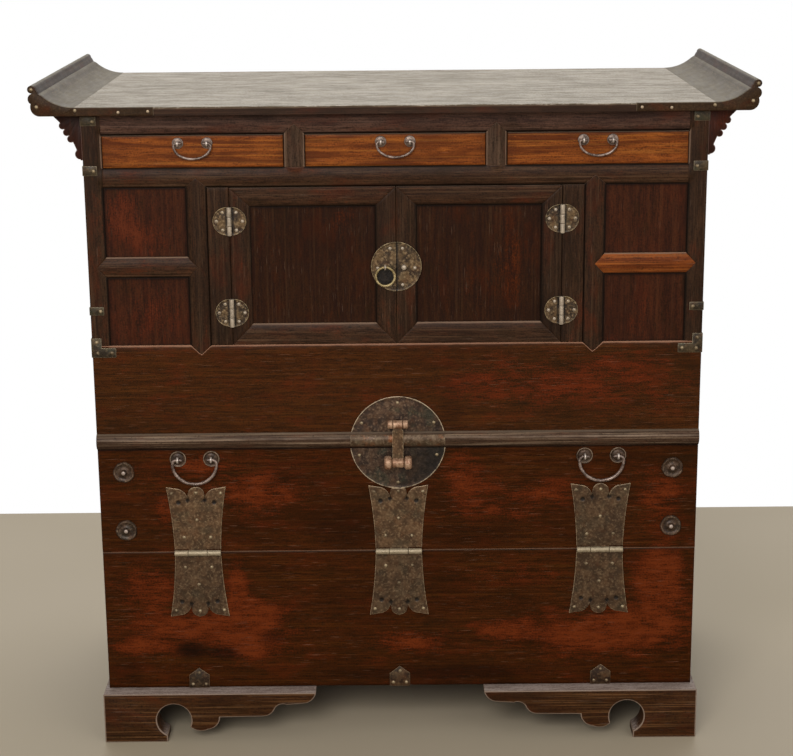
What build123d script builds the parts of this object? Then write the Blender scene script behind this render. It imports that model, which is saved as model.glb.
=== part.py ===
"""Korean two tier chest: a drawer and door cabinet over a drop front blanket chest.

Millimetres. +Z is up, the front faces -Y, and the origin is on the floor under
the middle of the whole chest. Every piece is a solid of its own, at its closed
place: drawers in, doors shut, drop front up, bails and ring hanging.
"""
from build123d import *
from math import sqrt
import os

# ---- carcass, outside -------------------------------------------------------
BODY_W = 900.0              # width over the side boards
BODY_D = 480.0              # front face to back face
BASE_H = 80.0               # floor to the top of the base ledge
LOWER_FRONT_H = 222.0       # fixed board below the drop front
DROP_H = 164.0              # opening closed by the drop front
FIXED_FRONT_H = 159.0       # fixed board between the drop front and the doors
DOOR_OPENING_H = 234.0
DRAWER_RAIL_H = 29.0
DRAWER_OPENING_H = 48.0
TOP_RAIL_H = 31.0
TOP_T = 12.0                # top board
TOP_FRONT_OVERHANG = 28.0
TOP_BACK_OVERHANG = 12.0

# ---- board thicknesses and frame widths -------------------------------------
FRONT_T = 20.0              # every board and rail in the front face
SIDE_T = 20.0
BACK_T = 10.0
FLOOR_T = 15.0
DECK_T = 12.0               # board that the drawers slide on
PARTITION_T = 12.0          # upright between two drawers
POST_W = 27.0
HINGE_STILE_W = 31.5
INNER_STILE_W = 31.0
DOOR_OPENING_HALF = 242.0   # middle of the chest to the hinge stile
DIVIDER_W = 29.0            # stile between two drawers
DIVIDER_X = 145.5           # its middle, from the middle of the chest
MUNTIN_H = 31.0
JOINT_POINT = 14.5          # pointed end of a muntin, divider or inner stile
PANEL_T = 8.0
PANEL_RECESS = 4.0
GROOVE = 5.0                # panel edge held in the frame
TENON_L = 12.0
TENON_T = 8.0
TENON_SHOULDER = 4.0
BACK_JOINTS = (250.0, 530.0)  # heights of the joints between the back boards, above the base

# ---- moulding ---------------------------------------------------------------
MOULD_H = 24.0
MOULD_PROUD = 9.0

# ---- base -------------------------------------------------------------------
LEDGE_FRONT = 25.0          # base stands proud of the front face
LEDGE_SIDE = 6.5
FOOT_T = 40.0               # front feet, front to back
BASE_SIDE_T = 30.0
BASE_BACK_T = 25.0
FOOT_END_X = 129.0          # inner end of a front foot, from the middle
FOOT_HOLE_R = 26.5
FOOT_HOLE_Z = 36.0
FOOT_PAD_W = 97.0           # flat sole under the corner
FOOT_HOLE_IN = 10.5         # hole's centre, inward of the sole's edge
FOOT_TONGUE_IN = 24.0       # tip of the tongue, inward of the hole's centre
# Lower edge of a front foot: (inward of the tongue's tip, height), then (outward of the inner end, height)
FOOT_OUTER_STEP = ((12.0, 18.0), (28.0, 20.0), (42.0, 27.0), (47.0, 40.0))
FOOT_INNER_STEP = ((82.0, 41.0), (72.0, 44.0), (64.0, 54.0), (57.0, 60.0), (46.0, 60.0), (17.0, 62.0),
                   (7.0, 67.0))
BASE_ARCH_H = 40.0
BASE_ARCH_END = 95.0        # sole left at each end of a side or back rail

# ---- scroll ends of the top -------------------------------------------------
SCROLL_OUT = 69.0           # tip of the scroll, beyond the side of the body
SCROLL_RISE = 31.5          # tip above the flat of the top
SCROLL_TIP_R = 5.5
SCROLL_UPPER_R = 8.0
SCROLL_LOWER_R = 13.0
SCROLL_ROOT = 64.0          # where the flat starts to lift, inward of the tip
LAP_IN = 108.0              # strip that laps the front edge, inward of the side of the body
LAP_T = 6.0
BRACKET_REACH = 43.0
BRACKET_H = 67.0
BRACKET_T = 18.0
BRACKET_INSET = 2.0
BRACKET_EDGE = ((3.0, 0.0), (9.0, 17.0), (14.0, 29.0), (31.0, 55.0))  # (out, up) from its foot
BRACKET_ROLL_R = 5.2
BRACKET_ROLLS = ((27.0, 50.0), (21.5, 40.5), (16.0, 31.0))
BRACKET_FOOT_ROLL = (3.5, 9.0)
BRACKET_FOOT_R = 7.5
SCROLL_BEND = 0.55          # share of the lift's run at which its arc is guided

# ---- doors ------------------------------------------------------------------
DOOR_T = 20.0
DOOR_STILE_W = 30.0
DOOR_TOP_RAIL_H = 28.0
DOOR_BOTTOM_RAIL_H = 31.0
DOOR_GAP = 0.7
DOOR_HINGE_Z = (49.0, 185.0)  # hinge middles above the bottom of the opening
DOOR_KNUCKLE_R = 3.5
DOOR_KNUCKLE_L = 42.0
DOOR_LEAF_R = 20.5
DOOR_HINGE_NAILS = ((6.0, 13.0), (15.0, 0.0), (6.0, -13.0))  # (from the knuckle, up)
LOCK_DISC_R = 36.5
LOCK_DISC_NAILS = ((27.0, -2.0), (9.0, 27.0), (9.0, -27.0))  # on the right half, from its middle
LOCK_DISC_UP = 116.0        # its middle above the bottom of the opening
RING_OUTER_R = 15.5
RING_WIRE_R = 1.7
DOOR_POST_R = 3.6           # round post on the right half of the door plate
DOOR_POST_X = 11.0
DOOR_POST_L = 9.0

# ---- drop front -------------------------------------------------------------
DROP_GAP = 0.6
DROP_KNUCKLE_R = 4.5
STRAP_IN = 145.0            # outer strap hinges, inward of the side of the body
STRAP_HALF = 35.0           # half width at the knuckle
STRAP_MID_HALF = 14.6       # half width of the middle knuckle
STRAP_TIP = 45.0            # half width at the horns
STRAP_L = 104.0             # pin to horn tips
STRAP_LOBE_R = 13.0
STRAP_SIDE_BOW = 1.5        # how far the sides curve out on their way to the horns
STRAP_NOTCH = (11.0, 85.0)  # meeting of lobe and horn: (across, from the pin)
STRAP_HORN_MID = (28.0, 100.0)
STRAP_HOLES = ((11.5, 85.0, 2.2), (26.0, 79.0, 2.5))  # (across, from the pin, radius)
STRAP_NAILS = ((0.0, 95.0), (37.0, 94.0), (-37.0, 94.0), (0.0, 52.0), (20.0, 24.0), (-20.0, 24.0))
LOCK_PLATE_R = 71.5
LOCK_PLATE_DROP = 5.0       # plate's middle below the moulding's middle
LOCK_UPPER_NAILS = ((0.0, 62.0), (-54.0, 31.0), (54.0, 31.0))  # from the plate's middle
LOCK_LOWER_NAILS = ((0.0, -62.0), (-58.0, -19.0), (58.0, -19.0))
ROSETTE_R = 16.0
ROSETTE_T = 3.0
ROSETTE_IN = 38.0           # inward of the side of the body
ROSETTE_UP = (36.0, 128.0)  # above the hinge seam
DROP_BAIL_UP = 148.0        # bail axis above the hinge seam
DROP_BAIL_SPACING = 50.0
DROP_BAIL_WIDTH = 71.0
DROP_BAIL_DROP = 40.0
DROP_BAIL_WIRE_R = 2.4
DROP_BAIL_PLATE_R = 12.5

# ---- hasp -------------------------------------------------------------------
HASP_PIVOT_UP = 143.0       # above the hinge seam
HASP_L = 59.0               # pivot to the upper eye
HASP_PIVOT_OUT = 13.0       # pivot in front of the face
HASP_EYE_OUT = 11.5
HASP_STRAP_W = 16.0
HASP_STRAP_T = 3.0
HASP_BARREL_R = 7.5
HASP_BARREL_SIDE = 1.0      # barrel wider than the strap, each side
HASP_NECK = 1.5             # gap between the wide strap and the upper eye
HASP_EYE_R = 6.5
HASP_EYE_HALF = 7.0
HASP_LUG_R = 10.5
HASP_LUG_W = 11.5
CATCH_LUG_W = 8.0
HASP_PIN_R = 2.5

# ---- drawers ----------------------------------------------------------------
DRAWER_GAP = 0.8
DRAWER_FRONT_T = 18.0
DRAWER_WALL_T = 10.0
DRAWER_BOTTOM_T = 7.0
DRAWER_BOTTOM_UP = 1.0      # bottom board above the lower edge of the sides
DRAWER_EDGE = 1.0           # bevel round the drawer front
DRAWER_BACK_GAP = 40.0      # back of the box to the back boards
DRAWER_BACK_LOW = 6.0       # sides and back lower than the front
DRAWER_LIFT = 0.3           # running gap on the deck
GUIDE_H = 12.0
DRAWER_BAIL_UP = 36.0       # bail axis above the deck
DRAWER_BAIL_SPACING = 42.0
DRAWER_BAIL_WIDTH = 57.0
DRAWER_BAIL_DROP = 24.0
DRAWER_BAIL_WIRE_R = 1.8
DRAWER_BAIL_PLATE_R = 8.2

# ---- ironwork ---------------------------------------------------------------
PLATE_T = 2.0
LEAF_T = 1.6
STRAP_PLATE_T = 1.2         # corner straps
KNUCKLE_GAP = 0.4           # knuckle to wood, and between knuckles
PIN_R = 1.6
PIN_GAP = 0.25
BAIL_PLATE_T = 1.6
BAIL_PLATE_RAISED = 0.6     # raised middle, as a share of the plate's radius
EYE_W = 3.0
EYE_GAP = 0.4
EYE_WALL = 2.2
STUD_R = 5.0
STUD_H = 5.0
NAIL_R = 2.6
NAIL_H = 1.6
STRAP_WRAP = 24.0           # corner strap's leg along the side
STRAP_NAIL_IN = 5.0         # nail, from the strap's inner end
TOP_STRAP = (-17.0, -4.0, 21.0)     # bottom, top (from the top of the posts) and reach
RAIL_STRAP = (-10.0, 4.0, 20.0)     # the same, from the drawer deck
POST_STRAP = (47.0, 59.0, 20.0)     # the same, from the bottom of the door opening
ANGLE_STRAP = (-17.0, -3.0, 35.0)
ANGLE_LEG = (-17.0, 12.0, 14.0)
ANGLE_NAILS = ((29.0, -10.0), (7.0, 6.0), (8.0, -10.0))  # (in from the corner, up)
BASE_PLATE_HALF = 15.5
BASE_PLATE_H = 33.0
BASE_PLATE_POINT = 12.0
BASE_PLATE_IN = 140.0       # outer plates, inward of the side of the body
BASE_PLATE_NAILS = ((0.0, 25.0), (-10.0, 6.0), (10.0, 6.0))  # (across, up) from the plate's foot
SCROLL_NAILS = ((12.0, 1.5), (66.0, -4.0))  # (in from the tip, up from the flat of the top)

# ---- worked out from the sizes above ----------------------------------------
HALF = BODY_W / 2
SCROLL_X = HALF + SCROLL_OUT
LAP_END_X = HALF - LAP_IN
STRAP_X = HALF - STRAP_IN
ROSETTE_X = HALF - ROSETTE_IN
BASE_PLATE_X = HALF - BASE_PLATE_IN
TOP_D = TOP_FRONT_OVERHANG + BODY_D + TOP_BACK_OVERHANG
FRONT = -TOP_D / 2 + TOP_FRONT_OVERHANG + NAIL_H / 2
BACK = FRONT + BODY_D
TOP_FRONT = FRONT - TOP_FRONT_OVERHANG
TOP_BACK = BACK + TOP_BACK_OVERHANG
INNER_BACK = BACK - BACK_T
FRAME_BACK = FRONT + FRONT_T
SEAM_Z = BASE_H + LOWER_FRONT_H
MOULD_Z = SEAM_Z + DROP_H
SILL_Z = MOULD_Z + FIXED_FRONT_H
HEAD_Z = SILL_Z + DOOR_OPENING_H
DECK_Z = HEAD_Z + DRAWER_RAIL_H
DRAWER_TOP_Z = DECK_Z + DRAWER_OPENING_H
BODY_TOP = DRAWER_TOP_Z + TOP_RAIL_H
TOP_Z = BODY_TOP + TOP_T
POST_X = HALF - POST_W
HINGE_STILE_X = DOOR_OPENING_HALF + HINGE_STILE_W
PANEL_X = HINGE_STILE_X + INNER_STILE_W
MUNTIN_Z = (SILL_Z + HEAD_Z) / 2
LOCK_Z = MOULD_Z + MOULD_H / 2 - LOCK_PLATE_DROP
DROP_PIN_Y = FRONT - DROP_KNUCKLE_R - KNUCKLE_GAP
DOOR_PIN_Y = FRONT - DOOR_KNUCKLE_R - KNUCKLE_GAP
DOOR_PIN_X = DOOR_OPENING_HALF - DOOR_GAP / 2
LOCK_DISC_Z = SILL_Z + LOCK_DISC_UP
RING_X = RING_OUTER_R + DOOR_GAP
RING_EYE_Y = FRONT - PLATE_T - RING_WIRE_R - EYE_GAP - EYE_WALL - KNUCKLE_GAP

nodes = {}


# ---- shapes -----------------------------------------------------------------
def board(x, y, z):
    """A square edged board that fills the (low, high) spans x, y and z."""
    corner = (Align.MIN, Align.MIN, Align.MIN)
    return Pos(x[0], y[0], z[0]) * Box(x[1] - x[0], y[1] - y[0], z[1] - z[0], align=corner)


def along_y(outline, y_low, y_high):
    """An outline drawn in X and Z, given depth along Y."""
    return extrude(Plane.XZ.offset(-y_high) * outline, amount=y_high - y_low)


def along_x(outline, x_low, x_high):
    """An outline drawn in Y and Z, given length along X."""
    return extrude(Plane.YZ.offset(x_low) * outline, amount=x_high - x_low)


def rod_x(x_low, x_high, y, z, radius):
    """A round bar along X."""
    return along_x(Pos(y, z) * Circle(radius), x_low, x_high)


def rod_z(x, y, z_low, z_high, radius):
    """A round bar along Z."""
    return Pos(x, y, z_low) * extrude(Circle(radius), amount=z_high - z_low)


def disc(x, z, radius, y_face, thickness):
    """A round plate lying on a face that looks to -Y."""
    return along_y(Pos(x, z) * Circle(radius), y_face - thickness, y_face)


def dome(radius, height):
    """A domed nail head on the plane Y = 0, looking to -Y."""
    ball = (radius ** 2 + height ** 2) / (2 * height)
    span = (-2 * radius, 2 * radius)
    return (Pos(0, ball - height, 0) * Sphere(ball)) & board(span, (-2 * height, 0), span)


def closed_face(*edges):
    """The flat face inside edges that meet end to end."""
    return make_face(Curve() + list(edges))


def flipped(shape):
    """The other hand of a piece, across the middle of the chest."""
    return mirror(shape, about=Plane.YZ)


def pair(shape):
    """A piece on the right and its mirror image on the left."""
    return [shape, flipped(shape)]


def sided(shape, side):
    """A piece modelled on the right, kept there or turned to the left."""
    return shape if side > 0 else flipped(shape)


NAIL = dome(NAIL_R, NAIL_H)


def nails_at(places, y_face):
    """One nail head at each (x, z) place on a face that looks to -Y."""
    return [Pos(x, y_face, z) * NAIL for x, z in places]


def save(name, *solids):
    """Keep the solids of one node under its name."""
    nodes[name] = [solid for item in solids for solid in item.solids()]


def rail(x_low, x_high, z_low, z_high, y_low, y_high):
    """A rail with a tenon at each end, which stands in the uprights beside it."""
    middle = (y_low + y_high) / 2
    tongue = board((x_low - TENON_L, x_high + TENON_L),
                   (middle - TENON_T / 2, middle + TENON_T / 2),
                   (z_low + TENON_SHOULDER, z_high - TENON_SHOULDER))
    return board((x_low, x_high), (y_low, y_high), (z_low, z_high)) + tongue


# ---- carcass boards ---------------------------------------------------------
def make_boards():
    """Sides, back, floors and the drawer deck."""
    inner = (-HALF + SIDE_T, HALF - SIDE_T)
    deep = (FRAME_BACK, INNER_BACK)
    side = board((HALF - SIDE_T, HALF), deep, (BASE_H, BODY_TOP))
    save("side_boards", *pair(side))
    joints = (BASE_H, *(BASE_H + up for up in BACK_JOINTS), BODY_TOP)
    planks = [board((-HALF, HALF), (INNER_BACK, BACK), span) for span in zip(joints, joints[1:])]
    save("back_boards", *planks)
    save("chest_floor", board(inner, deep, (BASE_H, BASE_H + FLOOR_T)))
    save("cabinet_floor", board(inner, deep, (SILL_Z - FLOOR_T, SILL_Z)))
    save("drawer_deck", board(inner, deep, (DECK_Z - DECK_T, DECK_Z)))
    make_partitions(deep)


def make_partitions(deep):
    """Uprights between the drawers, with the strips that guide the drawer sides."""
    upright = board((DIVIDER_X - PARTITION_T / 2, DIVIDER_X + PARTITION_T / 2), deep, (DECK_Z, BODY_TOP))
    strips = [(DIVIDER_X - DIVIDER_W / 2, DIVIDER_X - PARTITION_T / 2),
              (DIVIDER_X + PARTITION_T / 2, DIVIDER_X + DIVIDER_W / 2),
              (POST_X, HALF - SIDE_T)]
    guides = [board(span, deep, (DECK_Z, DECK_Z + GUIDE_H)) for span in strips]
    save("drawer_partitions", *pair(upright), *(piece for guide in guides for piece in pair(guide)))


# ---- front frame ------------------------------------------------------------
def pointed_muntin():
    """Cross piece between the right hand panels, pointed at both ends."""
    low, high = MUNTIN_Z - MUNTIN_H / 2, MUNTIN_Z + MUNTIN_H / 2
    outline = Polygon((PANEL_X, low), (POST_X, low), (POST_X + JOINT_POINT, MUNTIN_Z), (POST_X, high),
                      (PANEL_X, high), (PANEL_X - JOINT_POINT, MUNTIN_Z), align=None)
    return along_y(outline, FRONT, FRAME_BACK)


def pointed_divider():
    """Upright between two drawers, pointed where it stands into the top rail."""
    low, high = DIVIDER_X - DIVIDER_W / 2, DIVIDER_X + DIVIDER_W / 2
    outline = Polygon((low, DECK_Z), (high, DECK_Z), (high, DRAWER_TOP_Z),
                      (DIVIDER_X, DRAWER_TOP_Z + JOINT_POINT), (low, DRAWER_TOP_Z), align=None)
    return along_y(outline, FRONT, FRAME_BACK)


def pointed_stile():
    """Right hand upright beside the panels, pointed into the drawer rail and the front board."""
    middle = (HINGE_STILE_X + PANEL_X) / 2
    outline = Polygon((HINGE_STILE_X, SILL_Z), (middle, SILL_Z - JOINT_POINT), (PANEL_X, SILL_Z),
                      (PANEL_X, HEAD_Z), (middle, HEAD_Z + JOINT_POINT), (HINGE_STILE_X, HEAD_Z), align=None)
    return along_y(outline, FRONT, FRAME_BACK)


def side_panel(z_low, z_high):
    """Right hand panel that fills the frame and its grooves."""
    y_front = FRONT + PANEL_RECESS
    return board((PANEL_X - GROOVE, POST_X + GROOVE), (y_front, y_front + PANEL_T),
                 (z_low - GROOVE, z_high + GROOVE))


def make_front_frame():
    """Posts, rails, stiles and panels around the doors and drawers, and the fixed front boards."""
    face = (FRONT, FRAME_BACK)
    muntin = pointed_muntin()
    panels = [side_panel(SILL_Z, MUNTIN_Z - MUNTIN_H / 2), side_panel(MUNTIN_Z + MUNTIN_H / 2, HEAD_Z)]
    divider = pointed_divider()
    top_rail = rail(-POST_X, POST_X, DRAWER_TOP_Z, BODY_TOP, *face)
    drawer_rail = rail(-POST_X, POST_X, HEAD_Z, DECK_Z, *face)
    post = board((POST_X, HALF), face, (SILL_Z, BODY_TOP))
    post = post - top_rail - drawer_rail - muntin - panels[0] - panels[1]
    stile = pointed_stile()
    hinge_stile = board((DOOR_OPENING_HALF, HINGE_STILE_X), face, (SILL_Z, HEAD_Z))
    front_board = board((-HALF, HALF), face, (MOULD_Z, SILL_Z))
    for piece in (*pair(panels[0]), *pair(stile)):
        front_board = front_board - piece
    for piece in (*pair(panels[1]), *pair(stile)):
        drawer_rail = drawer_rail - piece
    stile = stile - muntin - panels[0] - panels[1]
    for upright in pair(divider):
        top_rail = top_rail - upright
    muntin = muntin - panels[0] - panels[1]
    save("corner_posts", *pair(post))
    save("top_rail", top_rail)
    save("drawer_rail", drawer_rail)
    save("drawer_dividers", *pair(divider))
    save("inner_stiles", *pair(stile))
    save("hinge_stiles", *pair(hinge_stile))
    save("side_muntins", *pair(muntin))
    save("side_panels", *(piece for panel in panels for piece in pair(panel)))
    save("front_board", front_board)
    save("lower_front_board", board((-HALF, HALF), face, (BASE_H, SEAM_Z - DROP_GAP / 2)))


def half_round(proud):
    """Outline of the moulding, or of anything that follows it that far out."""
    top = MOULD_Z + MOULD_H
    nose = ThreePointArc((FRONT, MOULD_Z), (FRONT - proud, MOULD_Z + MOULD_H / 2), (FRONT, top))
    return closed_face(nose, Line((FRONT, top), (FRONT, MOULD_Z)))


def make_moulding():
    """Half round moulding across the front, with the iron sleeve of the lock plate over it."""
    reach = sqrt(LOCK_PLATE_R ** 2 - (MOULD_H / 2) ** 2)
    save("mid_moulding", along_x(half_round(MOULD_PROUD), -HALF, HALF))
    sleeve = along_x(half_round(MOULD_PROUD + PLATE_T / 2), -reach, reach)
    save("moulding_sleeve", sleeve - along_x(half_round(MOULD_PROUD), -HALF, HALF))


# ---- top and base -----------------------------------------------------------
def scroll_outline():
    """Cross section of the right hand scroll: a lifting curve over two scallops and a rolled tip."""
    root = SCROLL_X - SCROLL_ROOT
    tip = (SCROLL_X - SCROLL_TIP_R, TOP_Z + SCROLL_RISE - SCROLL_TIP_R)
    upper = (SCROLL_X - SCROLL_UPPER_R, tip[1] - SCROLL_UPPER_R - SCROLL_TIP_R)
    lower = (upper[0] - SCROLL_UPPER_R, BODY_TOP + SCROLL_LOWER_R)
    lift_x, lift_z = tip[0] - SCROLL_TIP_R, tip[1]
    run, rise = lift_x - root, lift_z - TOP_Z
    bend = (run ** 2 + rise ** 2) / (2 * rise)
    guide = run * SCROLL_BEND
    half_way = (root + guide, TOP_Z + bend - sqrt(bend ** 2 - guide ** 2))
    core = closed_face(ThreePointArc((root, TOP_Z), half_way, (lift_x, lift_z)),
                       Line((lift_x, lift_z), tip), Line(tip, upper), Line(upper, lower),
                       Line(lower, (lower[0], BODY_TOP)), Line((lower[0], BODY_TOP), (root, BODY_TOP)),
                       Line((root, BODY_TOP), (root, TOP_Z)))
    rolls = [Pos(*tip) * Circle(SCROLL_TIP_R), Pos(*upper) * Circle(SCROLL_UPPER_R),
             Pos(*lower) * Circle(SCROLL_LOWER_R)]
    return core + rolls


def make_top():
    """Top board between two scroll ends, whose front strips lap the board's edge."""
    root = SCROLL_X - SCROLL_ROOT
    lap = board((LAP_END_X, root), (TOP_FRONT, TOP_FRONT + LAP_T), (BODY_TOP, TOP_Z))
    scroll = along_y(scroll_outline(), TOP_FRONT, TOP_BACK) + lap
    top = board((-root, root), (TOP_FRONT, TOP_BACK), (BODY_TOP, TOP_Z))
    for strip in pair(lap):
        top = top - strip
    save("top_board", top)
    save("top_scroll_ends", *pair(scroll))
    make_brackets()


def bracket_outline():
    """Right hand bracket under the overhang: a diagonal edge carved into rolls."""
    edge = [(0, 0), *BRACKET_EDGE, (BRACKET_REACH, BRACKET_H), (0, BRACKET_H)]
    rolls = [Pos(*place) * Circle(BRACKET_ROLL_R) for place in BRACKET_ROLLS]
    foot = Pos(*BRACKET_FOOT_ROLL) * Circle(BRACKET_FOOT_R)
    keep = Rectangle(BRACKET_REACH, BRACKET_H, align=(Align.MIN, Align.MIN))
    return Pos(HALF, BODY_TOP - BRACKET_H) * ((Polygon(*edge, align=None) + rolls + foot) & keep)


def make_brackets():
    """Carved brackets under the scroll ends, at the front and at the back."""
    outline = bracket_outline()
    front = along_y(outline, FRONT + BRACKET_INSET, FRONT + BRACKET_INSET + BRACKET_T)
    back = along_y(outline, BACK - BRACKET_INSET - BRACKET_T, BACK - BRACKET_INSET)
    save("eave_brackets", *pair(front), *pair(back))


def foot_outline():
    """Right hand front foot: sole, round hole that opens downwards, and a stepped edge to the middle."""
    outer = HALF + LEDGE_SIDE
    sole = outer - FOOT_PAD_W
    hole = (sole - FOOT_HOLE_IN, FOOT_HOLE_Z)
    mouth = hole[1] - sqrt(FOOT_HOLE_R ** 2 - FOOT_HOLE_IN ** 2)
    tongue = (hole[0] - FOOT_TONGUE_IN, hole[1] - sqrt(FOOT_HOLE_R ** 2 - FOOT_TONGUE_IN ** 2))
    first = [(tongue[0] - inward, z) for inward, z in FOOT_OUTER_STEP]
    second = [(FOOT_END_X + out, z) for out, z in FOOT_INNER_STEP]
    end = (FOOT_END_X, BASE_H)
    return closed_face(
        Line((outer, BASE_H), (outer, 0)), Line((outer, 0), (sole, 0)), Line((sole, 0), (sole, mouth)),
        ThreePointArc((sole, mouth), (hole[0], hole[1] + FOOT_HOLE_R), tongue),
        ThreePointArc(tongue, first[0], first[1]), ThreePointArc(first[1], first[2], first[3]),
        Line(first[3], second[0]),
        ThreePointArc(second[0], second[1], second[2]), ThreePointArc(second[2], second[3], second[4]),
        Line(second[4], second[5]), ThreePointArc(second[5], second[6], end),
        Line(end, (outer, BASE_H)))


def arched_rail(length):
    """Outline of a base rail centred on zero, with a low arch between its soles."""
    half = length / 2
    reach = half - BASE_ARCH_END
    arch = closed_face(Line((-reach, 0), (reach, 0)),
                       ThreePointArc((reach, 0), (0, BASE_ARCH_H), (-reach, 0)))
    return Pos(0, BASE_H / 2) * Rectangle(length, BASE_H) - arch


def make_base():
    """Two front feet, and the side and back rails that the carcass stands on."""
    y_foot = FRONT - LEDGE_FRONT
    foot = along_y(foot_outline(), y_foot, y_foot + FOOT_T)
    save("front_foot_right", foot)
    save("front_foot_left", flipped(foot))
    length = BACK - y_foot - FOOT_T
    outer = HALF + LEDGE_SIDE
    side = along_x(Pos(BACK - length / 2, 0) * arched_rail(length), outer - BASE_SIDE_T, outer)
    back = along_y(arched_rail(2 * (outer - BASE_SIDE_T)), BACK - BASE_BACK_T, BACK)
    save("base_rails", *pair(side), back)


# ---- ironwork on the carcass ------------------------------------------------
def corner_strap(z_low, z_high, reach, wrap):
    """Thin strap round the right hand corner of the front."""
    x_out, y_out = HALF + STRAP_PLATE_T, FRONT - STRAP_PLATE_T
    front = board((HALF - reach, x_out), (y_out, FRONT), (z_low, z_high))
    return front + board((HALF, x_out), (y_out, FRONT + wrap), (z_low, z_high))


def make_corner_straps():
    """Four straps on each corner, the lowest one L shaped, with their nails."""
    rows = [(BODY_TOP, TOP_STRAP, BRACKET_INSET), (DECK_Z, RAIL_STRAP, STRAP_WRAP),
            (SILL_Z, POST_STRAP, STRAP_WRAP)]
    straps, places = [], []
    for z, (low, high, reach), wrap in rows:
        straps.append(corner_strap(z + low, z + high, reach, wrap))
        places.append((HALF - reach + STRAP_NAIL_IN, z + (low + high) / 2))
    legs = [corner_strap(SILL_Z + low, SILL_Z + high, reach, STRAP_WRAP)
            for low, high, reach in (ANGLE_STRAP, ANGLE_LEG)]
    places += [(HALF - inward, SILL_Z + up) for inward, up in ANGLE_NAILS]
    save("corner_straps", *(piece for strap in (*straps, legs[0] + legs[1]) for piece in pair(strap)))
    return [nail for head in nails_at(places, FRONT - STRAP_PLATE_T) for nail in pair(head)]


def make_base_plates():
    """Three pointed nail plates along the bottom edge of the front, with their nails."""
    half, top = BASE_PLATE_HALF, BASE_H + BASE_PLATE_H
    outline = Polygon((-half, BASE_H), (half, BASE_H), (half, top - BASE_PLATE_POINT), (0, top),
                      (-half, top - BASE_PLATE_POINT), align=None)
    middles = (-BASE_PLATE_X, 0, BASE_PLATE_X)
    save("base_nail_plates", *(along_y(Pos(x, 0) * outline, FRONT - LEAF_T, FRONT) for x in middles))
    places = [(x + across, BASE_H + up) for x in middles for across, up in BASE_PLATE_NAILS]
    return nails_at(places, FRONT - LEAF_T)


def make_scroll_nails():
    """Nails that hold the scroll ends and their lap strips, on the front edge."""
    places = [(SCROLL_X - SCROLL_TIP_R, TOP_Z + SCROLL_RISE - SCROLL_TIP_R)]
    places += [(SCROLL_X - inward, TOP_Z + up) for inward, up in SCROLL_NAILS]
    return [nail for head in nails_at(places, TOP_FRONT) for nail in pair(head)]


# ---- hinges -----------------------------------------------------------------
def knuckle_x(x, x_low, x_high, grip_z):
    """One knuckle of a drop front hinge, with its tab to the leaf above or below."""
    barrel = rod_x(x + x_low, x + x_high, DROP_PIN_Y, SEAM_Z, DROP_KNUCKLE_R)
    reach = sorted((SEAM_Z, SEAM_Z + grip_z))
    tab = board((x + x_low, x + x_high), (FRONT - LEAF_T, FRONT), reach)
    bore = rod_x(x + x_low, x + x_high, DROP_PIN_Y, SEAM_Z, PIN_R)
    return barrel + tab - bore


def strap_outline(way):
    """Leaf of a strap hinge from its knuckle up (way 1) or down (way -1): two horns and a round lobe."""
    near = DROP_KNUCKLE_R + KNUCKLE_GAP
    right = [(STRAP_HALF, near), (STRAP_HALF + STRAP_SIDE_BOW, STRAP_L / 2), (STRAP_TIP, STRAP_L),
             STRAP_HORN_MID, STRAP_NOTCH]
    left = [(-x, z) for x, z in right]
    leaf = closed_face(ThreePointArc(*right[:3]), ThreePointArc(*right[2:]), Line(right[4], left[4]),
                       ThreePointArc(*left[2:]), ThreePointArc(*left[:3]), Line(left[0], right[0]))
    leaf = leaf + Pos(0, STRAP_L - STRAP_LOBE_R) * Circle(STRAP_LOBE_R)
    leaf = leaf - [Pos(side * x, z) * Circle(radius) for side in (-1, 1) for x, z, radius in STRAP_HOLES]
    return leaf if way > 0 else mirror(leaf, about=Plane.XZ)


def strap_places(x, way):
    """Nail places on one strap hinge leaf."""
    return [(x + dx, SEAM_Z + way * dz) for dx, dz in STRAP_NAILS]


def door_plate_half(side):
    """One half of the door lock plate, cut along the gap between the doors."""
    whole = disc(0, LOCK_DISC_Z, LOCK_DISC_R, FRONT, PLATE_T)
    keep = board((DOOR_GAP / 2, LOCK_DISC_R), (FRONT - PLATE_T, FRONT),
                 (LOCK_DISC_Z - LOCK_DISC_R, LOCK_DISC_Z + LOCK_DISC_R))
    return sided(whole & keep, side)


def make_drop_hinges():
    """Three strap hinges at the foot of the drop front: both leaves and the pins."""
    near = DROP_KNUCKLE_R + KNUCKLE_GAP
    middle = STRAP_MID_HALF
    plate = disc(0, LOCK_Z, LOCK_PLATE_R, FRONT, PLATE_T)
    lower, upper, pins = [], [], []
    for x in (-STRAP_X, 0, STRAP_X):
        down = along_y(Pos(x, SEAM_Z) * strap_outline(-1), FRONT - LEAF_T, FRONT)
        for low, high in ((-STRAP_HALF, -middle), (middle, STRAP_HALF)):
            down = down + knuckle_x(x, low, high, -near)
        up = along_y(Pos(x, SEAM_Z) * strap_outline(1), FRONT - LEAF_T, FRONT)
        up = up - plate + knuckle_x(x, -middle + KNUCKLE_GAP, middle - KNUCKLE_GAP, near)
        up = up - rod_x(x - middle, x + middle, DROP_PIN_Y, SEAM_Z, PIN_R + PIN_GAP)
        lower.append(down)
        upper.append(up)
        pins.append(rod_x(x - STRAP_HALF, x + STRAP_HALF, DROP_PIN_Y, SEAM_Z, PIN_R))
    save("drop_hinge_lower_leaves", *lower)
    save("drop_hinge_upper_leaves", *upper)
    places = [place for x in (-STRAP_X, 0, STRAP_X) for place in strap_places(x, -1)]
    return pins, nails_at(places, FRONT - LEAF_T)


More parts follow.
